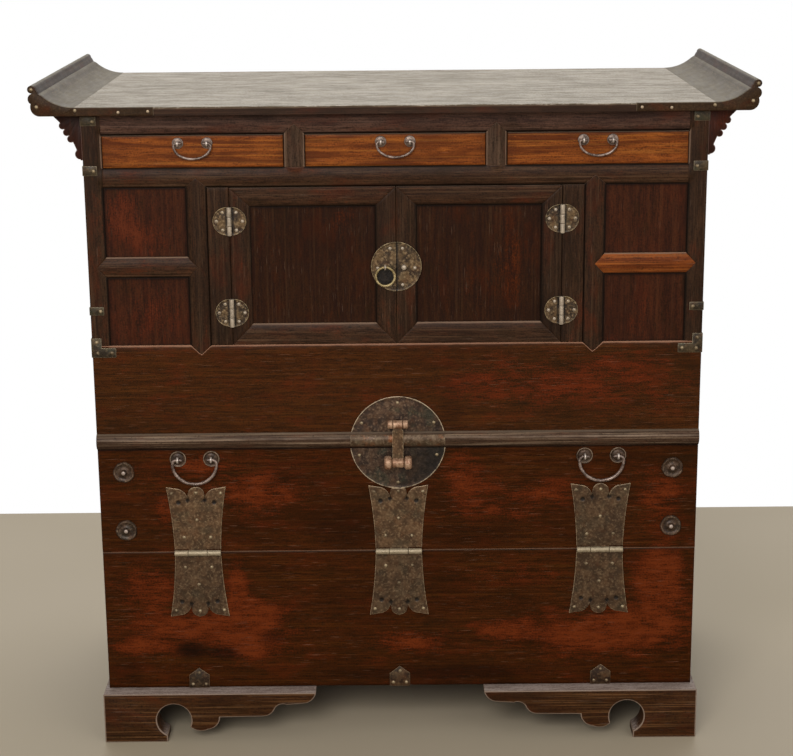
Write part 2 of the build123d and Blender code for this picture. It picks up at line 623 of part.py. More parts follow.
def door_leaf(z, side, own_spans):
    """One round leaf of a right door hinge, on the stile (side 1) or on the door (side -1)."""
    near = DOOR_KNUCKLE_R + KNUCKLE_GAP
    round_leaf = disc(DOOR_PIN_X + side * near, z, DOOR_LEAF_R, FRONT, LEAF_T)
    edge = sorted((DOOR_PIN_X + side * near, DOOR_PIN_X + side * (near + DOOR_LEAF_R)))
    leaf = round_leaf & board(edge, (FRONT - LEAF_T, FRONT), (z - DOOR_LEAF_R, z + DOOR_LEAF_R))
    for low, high in own_spans:
        tab = board(sorted((DOOR_PIN_X, DOOR_PIN_X + side * near)), (FRONT - LEAF_T, FRONT),
                    (z + max(low, -DOOR_LEAF_R), z + min(high, DOOR_LEAF_R)))
        leaf = leaf + tab + rod_z(DOOR_PIN_X, DOOR_PIN_Y, z + low, z + high, DOOR_KNUCKLE_R)
    return leaf


def door_nail_places(z, side):
    """Three nails round the rim of one door hinge leaf."""
    near = DOOR_KNUCKLE_R + KNUCKLE_GAP
    return [(DOOR_PIN_X + side * (near + dx), z + dz) for dx, dz in DOOR_HINGE_NAILS]


def door_hinge_spans():
    """Knuckle spans along the pin: the stile's two, and the door's one between them."""
    half, third = DOOR_KNUCKLE_L / 2, DOOR_KNUCKLE_L / 6
    return ((-half, -third), (third, half)), ((-third + KNUCKLE_GAP, third - KNUCKLE_GAP),)


def make_door_hinges():
    """Stile leaves of the four door hinges and their pins."""
    outer, _ = door_hinge_spans()
    leaves, pins, heads = [], [], []
    for up in DOOR_HINGE_Z:
        z = SILL_Z + up
        pin = rod_z(DOOR_PIN_X, DOOR_PIN_Y, z - DOOR_KNUCKLE_L / 2, z + DOOR_KNUCKLE_L / 2, PIN_R)
        leaves += pair(door_leaf(z, 1, outer) - pin)
        pins += pair(pin)
        heads += [piece for nail in nails_at(door_nail_places(z, 1), FRONT - LEAF_T) for piece in pair(nail)]
    save("door_hinge_leaves", *leaves)
    return pins, heads


# ---- lock plate and hasp ----------------------------------------------------
def lug(x_low, x_high, y_axis, z_axis, radius):
    """A rolled eye on the lock plate, with the root that joins it to the plate."""
    root = board((x_low, x_high), (y_axis, FRONT - PLATE_T), (z_axis - radius / 2, z_axis + radius / 2))
    eye = rod_x(x_low, x_high, y_axis, z_axis, radius) + root
    return eye - rod_x(x_low, x_high, y_axis, z_axis, HASP_PIN_R)


def make_lock_plates():
    """Round lock plate in two halves, above and below the moulding, with their eyes."""
    whole = disc(0, LOCK_Z, LOCK_PLATE_R, FRONT, PLATE_T)
    wide, thick = (-LOCK_PLATE_R, LOCK_PLATE_R), (FRONT - PLATE_T, FRONT)
    upper = whole & board(wide, thick, (MOULD_Z + MOULD_H, LOCK_Z + LOCK_PLATE_R))
    lower = whole & board(wide, thick, (LOCK_Z - LOCK_PLATE_R, MOULD_Z - 2 * DROP_GAP))
    catch_y, catch_z = FRONT - HASP_EYE_OUT, SEAM_Z + HASP_PIVOT_UP + HASP_L
    inner = HASP_EYE_HALF + KNUCKLE_GAP
    for eye in pair(lug(inner, inner + CATCH_LUG_W, catch_y, catch_z, HASP_EYE_R)):
        upper = upper + eye
    pivot_y, pivot_z = FRONT - HASP_PIVOT_OUT, SEAM_Z + HASP_PIVOT_UP
    inner = HASP_STRAP_W / 2 + HASP_BARREL_SIDE + KNUCKLE_GAP
    for eye in pair(lug(inner, inner + HASP_LUG_W, pivot_y, pivot_z, HASP_LUG_R)):
        lower = lower + eye
    save("lock_plate_upper", upper)
    save("lock_plate_lower", lower)
    save("hasp_pin", rod_x(-inner - HASP_LUG_W, inner + HASP_LUG_W, pivot_y, pivot_z, HASP_PIN_R))
    make_hasp(pivot_y, pivot_z, catch_y, catch_z)
    groups = (LOCK_UPPER_NAILS, LOCK_LOWER_NAILS)
    return [nails_at([(x, LOCK_Z + up) for x, up in group], FRONT - PLATE_T) for group in groups]


def make_hasp(pivot_y, pivot_z, catch_y, catch_z):
    """Hasp that stands up over the moulding, from its barrel to the eye between the catch lugs."""
    half = HASP_STRAP_W / 2
    barrel_half = half + HASP_BARREL_SIDE
    barrel = rod_x(-barrel_half, barrel_half, pivot_y, pivot_z, HASP_BARREL_R)
    eye = rod_x(-HASP_EYE_HALF, HASP_EYE_HALF, catch_y, catch_z, HASP_EYE_R)
    strap = Polygon((pivot_y - HASP_STRAP_T / 2, pivot_z), (pivot_y + HASP_STRAP_T / 2, pivot_z),
                    (catch_y + HASP_STRAP_T / 2, catch_z), (catch_y - HASP_STRAP_T / 2, catch_z), align=None)
    narrow = along_x(strap, -HASP_EYE_HALF, HASP_EYE_HALF)
    wide = along_x(strap, -half, half) & board((-half, half), (pivot_y - half, catch_y + half),
                                               (pivot_z, catch_z - HASP_EYE_R - HASP_NECK))
    hasp = barrel + eye + narrow + wide
    hasp = hasp - rod_x(-barrel_half, barrel_half, pivot_y, pivot_z, HASP_PIN_R + PIN_GAP)
    save("hasp", hasp - rod_x(-HASP_EYE_HALF, HASP_EYE_HALF, catch_y, catch_z, HASP_PIN_R))


# ---- bails ------------------------------------------------------------------
def eye_out(wire_r):
    """How far in front of the face a bail's axis lies."""
    return BAIL_PLATE_T + KNUCKLE_GAP + wire_r + EYE_GAP + EYE_WALL


def bail_posts(x, z, spacing, wire_r, plate_r):
    """Two round back plates with the eyes that a bail hangs in."""
    hole = wire_r + EYE_GAP
    y_axis = FRONT - eye_out(wire_r)
    posts = []
    for side in (-1, 1):
        middle = x + side * spacing / 2
        ring = rod_x(middle - EYE_W / 2, middle + EYE_W / 2, y_axis, z, hole + EYE_WALL)
        stem = along_y(Pos(middle, z) * Circle(EYE_W / 2), y_axis, FRONT - BAIL_PLATE_T)
        raised = disc(middle, z, plate_r * BAIL_PLATE_RAISED, FRONT - BAIL_PLATE_T, KNUCKLE_GAP)
        plate = disc(middle, z, plate_r, FRONT, BAIL_PLATE_T) + raised
        posts.append(plate + ((ring + stem) - rod_x(middle - EYE_W, middle + EYE_W, y_axis, z, hole)))
    return posts


def bail(x, z, spacing, width, drop, wire_r):
    """A hanging bail: stubs through both eyes, shoulders, and a bow below them."""
    y_axis = FRONT - eye_out(wire_r)
    half = width / 2 - wire_r
    shoulder = spacing / 2 + EYE_W / 2 + EYE_GAP
    turn = half - shoulder
    bow = drop - wire_r - turn
    stub = spacing / 2 - EYE_W - wire_r
    bent = turn * (1 - sqrt(0.5))
    path = [Line((-stub, 0), (-shoulder, 0)),
            ThreePointArc((-shoulder, 0), (-half + bent, -bent), (-half, -turn)),
            EllipticalCenterArc((0, -turn), half, bow, start_angle=180, arc_size=180),
            ThreePointArc((half, -turn), (half - bent, -bent), (shoulder, 0)),
            Line((shoulder, 0), (stub, 0))]
    wire = Pos(x, y_axis, z) * (Plane.XZ * (Curve() + path))
    start = Plane(origin=(x - stub, y_axis, z), z_dir=(-1, 0, 0))
    return sweep(start * Circle(wire_r), path=wire)


# ---- drawers ----------------------------------------------------------------
def make_drawer(name, x_low, x_high):
    """One drawer: its front, its box, the bail posts and the bail."""
    x_low, x_high = x_low + DRAWER_GAP, x_high - DRAWER_GAP
    low, high = DECK_Z + DRAWER_LIFT, DRAWER_TOP_Z - DRAWER_GAP
    y_front, y_back = FRONT + DRAWER_FRONT_T, INNER_BACK - DRAWER_BACK_GAP
    middle = (x_low + x_high) / 2
    wall_top = high - DRAWER_BACK_LOW
    in_low, in_high = x_low + DRAWER_WALL_T, x_high - DRAWER_WALL_T
    bottom_z = (low + DRAWER_BOTTOM_UP, low + DRAWER_BOTTOM_UP + DRAWER_BOTTOM_T)
    bottom = board((in_low - GROOVE, in_high + GROOVE), (y_front - GROOVE, y_back), bottom_z)
    front = board((x_low, x_high), (FRONT, y_front), (low, high))
    front = chamfer(front.faces().sort_by(Axis.Y)[0].edges(), DRAWER_EDGE)
    left = board((x_low, in_low), (y_front, y_back), (low, wall_top)) - bottom
    right = board((in_high, x_high), (y_front, y_back), (low, wall_top)) - bottom
    back = board((in_low, in_high), (y_back - DRAWER_WALL_T, y_back), (bottom_z[1], wall_top))
    axis_z = DECK_Z + DRAWER_BAIL_UP
    save(name + "_front", front - bottom)
    save(name + "_box", left, right, back, bottom)
    save(name + "_bail_posts", *bail_posts(middle, axis_z, DRAWER_BAIL_SPACING, DRAWER_BAIL_WIRE_R,
                                           DRAWER_BAIL_PLATE_R))
    save(name + "_bail", bail(middle, axis_z, DRAWER_BAIL_SPACING, DRAWER_BAIL_WIDTH, DRAWER_BAIL_DROP,
                              DRAWER_BAIL_WIRE_R))


def make_drawers():
    """Three drawers side by side under the top."""
    inner, outer = DIVIDER_X - DIVIDER_W / 2, DIVIDER_X + DIVIDER_W / 2
    make_drawer("drawer_left", -POST_X, -outer)
    make_drawer("drawer_middle", -inner, inner)
    make_drawer("drawer_right", outer, POST_X)


# ---- doors ------------------------------------------------------------------
def lock_edge_relief():
    """Lean of the door's meeting edge that lets its back corner pass the other door."""
    reach = DOOR_PIN_X - DOOR_GAP / 2
    depth = DOOR_KNUCKLE_R + KNUCKLE_GAP + DOOR_T
    return sqrt(reach ** 2 + depth ** 2) - reach + DOOR_GAP / 2


def make_door(name, side):
    """One framed door, modelled as the right hand one: frame, panel and fittings."""
    low, high = SILL_Z + DOOR_GAP, HEAD_Z - DOOR_GAP
    near, far = DOOR_GAP / 2, DOOR_OPENING_HALF - DOOR_GAP
    in_near, in_far = near + DOOR_STILE_W, far - DOOR_STILE_W
    face = (FRONT, FRONT + DOOR_T)
    bottom = rail(in_near, in_far, low, low + DOOR_BOTTOM_RAIL_H, *face)
    top = rail(in_near, in_far, high - DOOR_TOP_RAIL_H, high, *face)
    y_panel = FRONT + PANEL_RECESS
    panel = board((in_near - GROOVE, in_far + GROOVE), (y_panel, y_panel + PANEL_T),
                  (low + DOOR_BOTTOM_RAIL_H - GROOVE, high - DOOR_TOP_RAIL_H + GROOVE))
    lean = lock_edge_relief()
    edge = Pos(0, 0, low) * extrude(Polygon((near, face[0]), (in_near, face[0]), (in_near, face[1]),
                                            (near + lean, face[1]), align=None), amount=high - low)
    stiles = [edge - top - bottom - panel, board((in_far, far), face, (low, high)) - top - bottom - panel]
    rails = [top - panel, bottom - panel]
    save(name + "_frame", *(sided(piece, side) for piece in stiles + rails))
    save(name + "_panel", sided(panel, side))
    save(name + "_fittings", *make_door_fittings(side))


def make_door_fittings(side):
    """Door half of the lock plate with its post, the door's hinge leaves, and their nails."""
    _, inner = door_hinge_spans()
    fittings = []
    heads = nails_at([(x, LOCK_DISC_Z + up) for x, up in LOCK_DISC_NAILS], FRONT - PLATE_T)
    for up in DOOR_HINGE_Z:
        z = SILL_Z + up
        bore = rod_z(DOOR_PIN_X, DOOR_PIN_Y, z - DOOR_KNUCKLE_L / 2, z + DOOR_KNUCKLE_L / 2, PIN_R + PIN_GAP)
        fittings.append(sided(door_leaf(z, -1, inner) - bore, side))
        heads += nails_at(door_nail_places(z, -1), FRONT - LEAF_T)
    plate = door_plate_half(side)
    if side > 0:
        post = along_y(Pos(DOOR_POST_X, LOCK_DISC_Z) * Circle(DOOR_POST_R),
                       FRONT - PLATE_T - DOOR_POST_L, FRONT - PLATE_T)
        plate = plate + post
    else:
        plate = plate + ring_eye()
    return [plate, *fittings, *(sided(head, side) for head in heads)]


def ring_eye():
    """Eye on the left half of the door plate that the ring hangs in."""
    hole = RING_WIRE_R + EYE_GAP
    ring = rod_x(-RING_X - EYE_W / 2, -RING_X + EYE_W / 2, RING_EYE_Y, LOCK_DISC_Z, hole + EYE_WALL)
    stem = along_y(Pos(-RING_X, LOCK_DISC_Z) * Circle(EYE_W / 2), RING_EYE_Y, FRONT - PLATE_T)
    return (ring + stem) - rod_x(-RING_X - EYE_W, -RING_X + EYE_W, RING_EYE_Y, LOCK_DISC_Z, hole)


def make_door_ring():
    """Ring pull that hangs in the eye of the left door."""
    reach = RING_OUTER_R - RING_WIRE_R
    upright = Plane(origin=(-RING_X, RING_EYE_Y, LOCK_DISC_Z - reach), z_dir=(0, -1, 0))
    save("door_ring", upright * Torus(reach, RING_WIRE_R))


# ---- drop front -------------------------------------------------------------
def make_drop_front():
    """Board hinged along its foot, with its rosettes, bails and nails."""
    low, high = SEAM_Z + DROP_GAP / 2, MOULD_Z - DROP_GAP
    swing = DROP_KNUCKLE_R + KNUCKLE_GAP
    clear = (high - SEAM_Z) ** 2 + swing ** 2
    back_high = SEAM_Z + sqrt(clear - (swing + FRONT_T) ** 2) - DROP_GAP / 2
    section = Polygon((FRONT, low), (FRAME_BACK, low), (FRAME_BACK, back_high), (FRONT, high), align=None)
    save("drop_board", along_x(section, -HALF, HALF))
    studs, plates = [], []
    for up in ROSETTE_UP:
        for x in (-ROSETTE_X, ROSETTE_X):
            plates.append(disc(x, SEAM_Z + up, ROSETTE_R, FRONT, ROSETTE_T))
            studs.append(Pos(x, FRONT - ROSETTE_T, SEAM_Z + up) * dome(STUD_R, STUD_H))
    save("rosettes", *plates, *studs)
    axis_z = SEAM_Z + DROP_BAIL_UP
    posts = []
    for name, x in (("drop_bail_left", -STRAP_X), ("drop_bail_right", STRAP_X)):
        posts += bail_posts(x, axis_z, DROP_BAIL_SPACING, DROP_BAIL_WIRE_R, DROP_BAIL_PLATE_R)
        save(name, bail(x, axis_z, DROP_BAIL_SPACING, DROP_BAIL_WIDTH, DROP_BAIL_DROP, DROP_BAIL_WIRE_R))
    save("drop_bail_posts", *posts)


def strap_nails_on_drop():
    """Nail heads on the upper leaves, without the one that the lock plate covers."""
    places = [place for x in (-STRAP_X, 0, STRAP_X) for place in strap_places(x, 1)]
    reach = LOCK_PLATE_R + NAIL_R
    return [place for place in places if place[0] ** 2 + (place[1] - LOCK_Z) ** 2 > reach ** 2]


def build():
    """Model every node and write one STEP file for each."""
    make_boards()
    make_front_frame()
    make_moulding()
    make_top()
    make_base()
    strap_nails = make_corner_straps()
    plate_nails = make_base_plates()
    scroll_nails = make_scroll_nails()
    drop_pins, leaf_nails = make_drop_hinges()
    door_pins, stile_nails = make_door_hinges()
    upper_nails, lower_nails = make_lock_plates()
    save("hinge_pins", *drop_pins, *door_pins)
    save("carcass_nails", *strap_nails, *plate_nails, *scroll_nails, *leaf_nails, *stile_nails, *upper_nails)
    make_drop_front()
    save("drop_front_nails", *nails_at(strap_nails_on_drop(), FRONT - LEAF_T), *lower_nails)
    make_door("door_left", -1)
    make_door("door_right", 1)
    make_door_ring()
    make_drawers()
    os.makedirs("parts", exist_ok=True)
    for name, solids in nodes.items():
        shape = solids[0] if len(solids) == 1 else Compound(children=solids)
        export_step(shape, f"parts/{name}.step")
    print(len(nodes), "nodes written")


build()
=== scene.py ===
"""Looks of a two tier chest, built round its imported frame.

Shapes are worked out in millimetres in the frame's own axes (+Z up, front towards -Y) and turn into
metres when they are put into a mesh.
"""
import functools
import itertools
import logging
import math
from collections.abc import Callable, Iterable, Mapping, Sequence
from dataclasses import dataclass, field
from enum import Enum
from typing import ClassVar

import bmesh
import bpy
import numpy as np
from mathutils import Matrix, Vector


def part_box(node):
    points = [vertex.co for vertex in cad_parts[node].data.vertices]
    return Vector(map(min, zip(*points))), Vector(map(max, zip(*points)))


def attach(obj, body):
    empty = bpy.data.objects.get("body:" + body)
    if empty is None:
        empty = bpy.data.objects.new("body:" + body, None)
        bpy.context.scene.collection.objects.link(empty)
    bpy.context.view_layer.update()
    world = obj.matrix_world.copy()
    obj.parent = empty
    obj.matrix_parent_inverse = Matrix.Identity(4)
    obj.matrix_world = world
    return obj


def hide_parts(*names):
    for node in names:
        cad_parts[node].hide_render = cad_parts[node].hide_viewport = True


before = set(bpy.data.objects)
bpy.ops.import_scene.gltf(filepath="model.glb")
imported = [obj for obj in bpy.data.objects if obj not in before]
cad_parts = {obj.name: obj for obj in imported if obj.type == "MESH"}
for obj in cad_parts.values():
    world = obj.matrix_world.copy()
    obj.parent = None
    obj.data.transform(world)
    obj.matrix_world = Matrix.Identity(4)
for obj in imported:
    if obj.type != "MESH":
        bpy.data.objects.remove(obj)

LOG = logging.getLogger("chest")
MM = 0.001
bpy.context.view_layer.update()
# edges are shaded smooth, melted away or rounded by the angle between their faces
SMOOTH_UNDER = math.radians(38)
FLAT_UNDER = math.radians(0.8)
SHARP_OVER = math.radians(32)
MERGE_MM = 0.002
# no painted highlight and no painted shade on any of a board's four sides
NO_SIDE_PAINT = (0.0, 0.0, 0.0, 0.0)
WHITE = (1.0, 1.0, 1.0, 1.0)

Array = np.ndarray
# two, three or four numbers, such as (x, z); and an edge's place over the places along it
Pair = tuple[float, float]
Three = tuple[float, float, float]
Four = tuple[float, float, float, float]
Outline = Callable[[Array], Array]


# ---- finishes
class Grain(Enum):
    """Axis along which the fibres of a board run."""

    X = 0
    Y = 1
    Z = 2


def linear(code: str) -> Four:
    """Turn an sRGB hex colour such as "#3c190c" into linear red, green and blue, and an alpha of 1."""
    srgb = np.array([int(code[i:i + 2], 16) for i in (1, 3, 5)]) / 255
    value = np.where(srgb <= 0.04045, srgb / 12.92, ((srgb + 0.055) / 1.055) ** 2.4)
    return (*(float(v) for v in value), 1.0)


@dataclass(frozen=True)
class Coat:
    """One layer of colour: the mask that it lies in, eased from low to high, how strong, and its colour."""

    mask: str
    low: float
    high: float
    amount: float
    colour: str


@dataclass(frozen=True)
class Noise:
    """A noise stretched along the grain: its length and width in millimetres, and its detail."""

    length: float
    width: float
    detail: float = 3.0


class Graph:
    """Node tree of one material or world."""

    # values painted on the meshes: worn lacquer; worn edges with painted highlights; grime with painted shade
    # in gaps, recesses and under things; polish, with a painted highlight on the rosettes' studs
    PAINTS = ("bloom", "rub", "grime", "polish")
    # how strong the finer layers of every noise are
    ROUGH = 0.55
    # how far the streaks bend the growth rings
    BEND = 4.0
    # how strong the bump is, and the values of a mask between which the roughness changes
    BUMP = 0.6
    CHANGE = (0.3, 0.7)

    def __init__(self, tree: bpy.types.NodeTree) -> None:
        """Start from an empty tree."""
        self.tree = tree
        self.tree.nodes.clear()

    def add(self, kind: str, inputs: Mapping | None = None, **settings: object) -> bpy.types.Node:
        """Add a node.

        Args:
            kind: Blender's name for the node.
            inputs: Socket name or number to a value, a socket or a node, whose result is linked.
            settings: Attributes of the node.

        Returns:
            The new node.
        """
        node = self.tree.nodes.new(kind)
        for key, value in settings.items():
            setattr(node, key, value)
        for key, value in (inputs or {}).items():
            if isinstance(value, bpy.types.Node):
                value = value.outputs[2 if value.bl_idname == "ShaderNodeMix" else 0]
            if isinstance(value, bpy.types.NodeSocket):
                self.tree.links.new(value, node.inputs[key])
            else:
                node.inputs[key].default_value = value
        return node

    def masks(self, noises: Mapping[str, Noise], grain: Grain, sums: Mapping[str, Mapping[str, float]],
              contour: float = 0.0) -> dict[str, bpy.types.NodeSocket]:
        """Make every mask that the coats lie in.

        Args:
            noises: Name to noise; each is drawn on the piece's own coordinates.
            grain: Axis of the fibres.
            sums: Name to the weights of other masks that are added up.
            contour: Number of growth rings across the noise named rings.

        Returns:
            Name to mask, with the values painted on the mesh, and with up, how far a face looks up.
        """
        coords = self.add("ShaderNodeTexCoord")
        made = {name: self.add("ShaderNodeAttribute", attribute_name=name).outputs["Fac"]
                for name in self.PAINTS}
        made["up"] = self.add("ShaderNodeSeparateXYZ", {0: coords.outputs["Normal"]}).outputs["Z"]
        for name, noise in noises.items():
            scale = [1 / (noise.width * MM)] * 3
            scale[grain.value] = 1 / (noise.length * MM)
            mapped = self.add("ShaderNodeMapping", {"Vector": coords.outputs["Object"], "Scale": scale})
            inputs = {"Vector": mapped, "Scale": 1.0, "Detail": noise.detail, "Roughness": self.ROUGH}
            made[name] = self.add("ShaderNodeTexNoise", inputs).outputs[0]
        if "rings" in made:
            # growth rings are contour lines of a long smooth noise
            turns = self.add("ShaderNodeMath", {0: made["rings"], 1: contour * math.tau},
                             operation="MULTIPLY")
            turns = self.add("ShaderNodeMath", {0: made["streaks"], 1: self.BEND, 2: turns},
                             operation="MULTIPLY_ADD")
            made["rings"] = self.add("ShaderNodeMath", {0: turns}, operation="SINE").outputs[0]
        for name, parts in sums.items():
            total: object = 0.0
            for part, weight in parts.items():
                total = self.add("ShaderNodeMath", {0: made[part], 1: weight, 2: total},
                                 operation="MULTIPLY_ADD")
            made[name] = total.outputs[0]
        return made

    def coated(self, base: str, coats: Sequence[Coat],
               masks: Mapping[str, bpy.types.NodeSocket]) -> bpy.types.Node:
        """Lay coats of colour over each other and return the last.

        Args:
            base: Colour underneath, as hex.
            coats: Layers, from the lowest up.
            masks: Name to mask, as masks makes them.

        Returns:
            The node that mixes in the last coat.
        """
        colour: object = linear(base)
        for coat in coats:
            share = self.add("ShaderNodeMapRange", {"Value": masks[coat.mask], "From Min": coat.low,
                                                    "From Max": coat.high, "To Max": coat.amount},
                             interpolation_type="SMOOTHSTEP")
            colour = self.add("ShaderNodeMix", {0: share, 6: colour, 7: linear(coat.colour)},
                              data_type="RGBA")
        return colour

    def surface(self, colour: object, relief: object, depth: float, rough: tuple[object, float, float],
                **shader: float) -> None:
        """Add bump, roughness, the Principled shader and the output.

        Args:
            colour: Base colour.
            relief: Mask that gives the height.
            depth: Height of the relief in millimetres.
            rough: Mask, and the roughness where it is low and where it is high.
            shader: Other inputs of the shader, with _ for a space.
        """
        bump = self.add("ShaderNodeBump", {"Height": relief, "Distance": depth * MM, "Strength": self.BUMP})
        spread = self.add("ShaderNodeMapRange", {"Value": rough[0], "From Min": self.CHANGE[0],
                                                 "From Max": self.CHANGE[1], "To Min": rough[1],
                                                 "To Max": rough[2]})
        inputs = {"Base Color": colour, "Roughness": spread, "Normal": bump}
        inputs.update({key.replace("_", " "): value for key, value in shader.items()})
        shading = self.add("ShaderNodeBsdfPrincipled", inputs)
        self.add("ShaderNodeOutputMaterial", {"Surface": shading})


@dataclass(frozen=True)
class Finish:
    """A finish by its name, and its base colours from dark to light.

    Each kind of finish has NOISES and the SUMS made of them, the masks that its relief and its
    roughness follow, and SPREAD, how far its roughness varies down and up.
    """

    name: str
    dark: str
    mid: str
    light: str
    grain: Grain = Grain.X
    rings: float = 0.0
    metallic: float = 0.0
    roughness: float = 0.45
    shine: float = 0.3
    relief: float = 0.5

    NOISES: ClassVar[Mapping[str, Noise]]
    SUMS: ClassVar[Mapping[str, Mapping[str, float]]]
    RELIEF: ClassVar[str]
    ROUGHNESS: ClassVar[str]
    SPREAD: ClassVar[Pair]

    def coats(self) -> list[Coat]:
        """Layers of colour over the dark base, from the lowest up."""
        raise NotImplementedError

    @functools.cache
    def material(self) -> bpy.types.Material:
        """Build the node material, once for each finish."""
        made = bpy.data.materials.new(self.name)
        made.use_nodes = True
        g = Graph(made.node_tree)
        masks = g.masks(self.NOISES, self.grain, self.SUMS, self.rings)
        less, more = self.SPREAD
        g.surface(g.coated(self.dark, self.coats(), masks), masks[self.RELIEF], self.relief,
                  (masks[self.ROUGHNESS], self.roughness - less, self.roughness + more),
                  Metallic=self.metallic, Specular_IOR_Level=self.shine)
        return made


@dataclass(frozen=True)
class Wood(Finish):
    """Hand planed board under worn lacquer: dark fibres, faint growth rings, rubbed edges with painted
    highlights, grime and painted shade, dust on top.
    """

    worn: str = "#521f09"
    worn_light: str = "#692d10"
    stain: str = "#1f1507"
    rub: str = "#7d6452"
    dust: str = "#80705f"
    film: str = "#96897a"
    contrast: float = 1.0
    figure: float = 0.3
    rings: float = 9.0
    lines: float = 0.4
    scratches: float = 0.25
    dusty: float = 0.5
    filmy: float = 0.0
    roughness: float = 0.42
    shine: float = 0.08
    relief: float = 0.4

    RELIEF, ROUGHNESS, SPREAD = "tone", "blots", (0.02, 0.08)
    # a fibre is drawn 1.2 mm wide, wider than it is, because a real one is too fine to show
    NOISES = {"rings": Noise(700, 60, 1), "streaks": Noise(55, 5, 5), "fibres": Noise(13, 1.2, 3),
              "clouds": Noise(210, 90, 3), "blots": Noise(26, 13, 4), "scratch": Noise(30, 0.9, 1),
              "lines": Noise(220, 2.4, 2), "mottle": Noise(60, 24, 4), "speck": Noise(2.6, 2.2, 3)}
    SUMS = {"tone": {"fibres": 0.35, "streaks": 0.35, "speck": 0.3},
            "pores": {"fibres": 0.5, "speck": 0.5},
            "ragged": {"bloom": 1.1, "streaks": 1.0, "blots": 1.0, "mottle": 0.9, "fibres": 1.1,
                       "speck": 1.2},
            "edge": {"rub": 1.0, "blots": 0.5},
            "film": {"up": 1.0, "streaks": 1.1, "lines": 0.7, "fibres": 1.2, "mottle": 0.5, "speck": 1.0,
                     "clouds": 0.4}}

    def coats(self) -> list[Coat]:
        """Layers of colour from the fibres up to the dust; more contrast eases the fibres less."""
        spread = 0.16 / self.contrast
        return [Coat("tone", 0.5 - spread, 0.5 + spread, 1.0, self.mid),
                Coat("rings", -0.4, 1.0, self.figure, self.dark),
                Coat("lines", 0.5, 0.72, self.lines, self.light),
                Coat("clouds", 0.48, 0.66, 0.4, self.dark),
                Coat("mottle", 0.5, 0.74, 0.35, self.worn),
                Coat("mottle", 0.42, 0.28, 0.35, self.stain),
                Coat("ragged", 2.85, 3.5, 0.85, self.worn),
                Coat("ragged", 3.2, 3.85, 0.85, self.worn_light),
                Coat("pores", 0.46, 0.34, 0.7, self.stain),
                Coat("scratch", 0.69, 0.76, self.scratches, self.rub),
                # grime, and painted shade in gaps, recesses and under things; then worn edges with painted
                # highlights
                Coat("grime", 0.05, 1.0, 0.92, "#0c0603"),
                Coat("edge", 0.7, 1.25, 0.85, self.rub),
                Coat("up", 0.6, 0.95, self.dusty, self.dust),
                Coat("film", 3.22, 3.66, self.filmy, self.film)]


@dataclass(frozen=True)
class Iron(Finish):
    """Forged iron with an old brown skin: pitted, rusty in places, bright where hands rub it, and light along
    worn edges with painted highlights.
    """

    rust: str = "#5a3418"
    tarnish: str = "#3d4030"
    edge: str = "#97846a"
    polish: str = "#a8937a"
    speckle: float = 0.5
    rusty: float = 0.3
    tarnished: float = 0.3
    metallic: float = 0.35

    RELIEF, ROUGHNESS, SPREAD = "relief", "wear", (0.12, 0.14)
    # pits 3 mm apart, wear 6 mm, patches of skin 12 mm, rust 13 mm, tarnish 27 mm
    NOISES = {"skin": Noise(12, 12, 5), "grit": Noise(3, 3, 4), "rust": Noise(13, 13, 5),
              "wear": Noise(6, 6, 3), "stain": Noise(27, 27, 3)}
    SUMS = {"edge": {"rub": 1.0, "wear": 0.9}, "bright": {"polish": 1.0, "wear": 0.5},
            "relief": {"grit": 0.6, "wear": 1.0}}

    def coats(self) -> list[Coat]:
        """Layers of colour from the skin up to the worn edges."""
        return [Coat("skin", 0.36, 0.66, 1.0, self.mid),
                Coat("stain", 0.5, 0.66, self.tarnished, self.tarnish),
                Coat("grit", 0.5, 0.74, self.speckle, self.light),
                Coat("grit", 0.44, 0.3, self.speckle, self.dark),
                Coat("rust", 0.52, 0.7, self.rusty, self.rust),
                # grime, patina in hollows and painted shade; then polish and worn edges, both carrying painted
                # highlights
                Coat("grime", 0.05, 1.0, 0.92, "#0c0805"),
                Coat("bright", 0.85, 1.35, 0.9, self.polish),
                Coat("edge", 0.95, 1.5, 0.9, self.edge)]


# lacquered boards of the lower tier, reddish where the lacquer is thin
BOARD = Wood("lacquered_board", "#271103", "#431f08", "#5c3410", Grain.X, figure=0.15, lines=0.3,
             rub="#9a7058", contrast=1.3, shine=0.04)
# lacquered fixed board above the moulding, browner
UPPER_BOARD = Wood("brown_lacquered_board", "#2b1607", "#48250c", "#603815", Grain.X, figure=0.15,
                   lines=0.3, worn="#55200b", worn_light="#66290f", rub="#9a7058", contrast=1.3,
                   shine=0.05)
# lacquered side boards, upright grain, less handled
SIDE = Wood("lacquered_side", "#28120a", "#3b1d0e", "#4b2a16", Grain.Z, scratches=0.12, relief=0.15)
# plain, closely streaked wood under dark lacquer, for the members of the frame
FRAMING = {"lines": 0.45, "figure": 0.2, "contrast": 1.5}
# top rail, greyer than the other frame members, and painted lighter against the shade that the top's overhang
# casts on it
TOP_RAIL_LIT = Wood("top_rail", "#2f1e18", "#563c2f", "#74594a", Grain.X, **FRAMING)
# frame members, darker and browner than the panels
FRAME_X = Wood("frame_rail", "#24150c", "#432b1b", "#624934", Grain.X, **FRAMING)
# the same lacquered wood with its grain upright, for posts and stiles
FRAME_Z = Wood("frame_upright", "#201209", "#3a2516", "#553e2b", Grain.Z, lines=0.42, figure=0.2,
               contrast=1.5)
# dividers between the drawers, lacquered wood lighter than the stiles
DIVIDER = Wood("drawer_divider", "#2c1d12", "#4a3628", "#6a5340", Grain.Z, **FRAMING)
# panels beside the doors, red under the lacquer
PANEL = Wood("red_panel", "#28120a", "#422111", "#522e1a", Grain.Z, worn="#4c1f0e", worn_light="#5c2a15",
             scratches=0.12, lines=0.3, contrast=1.5, shine=0.06)
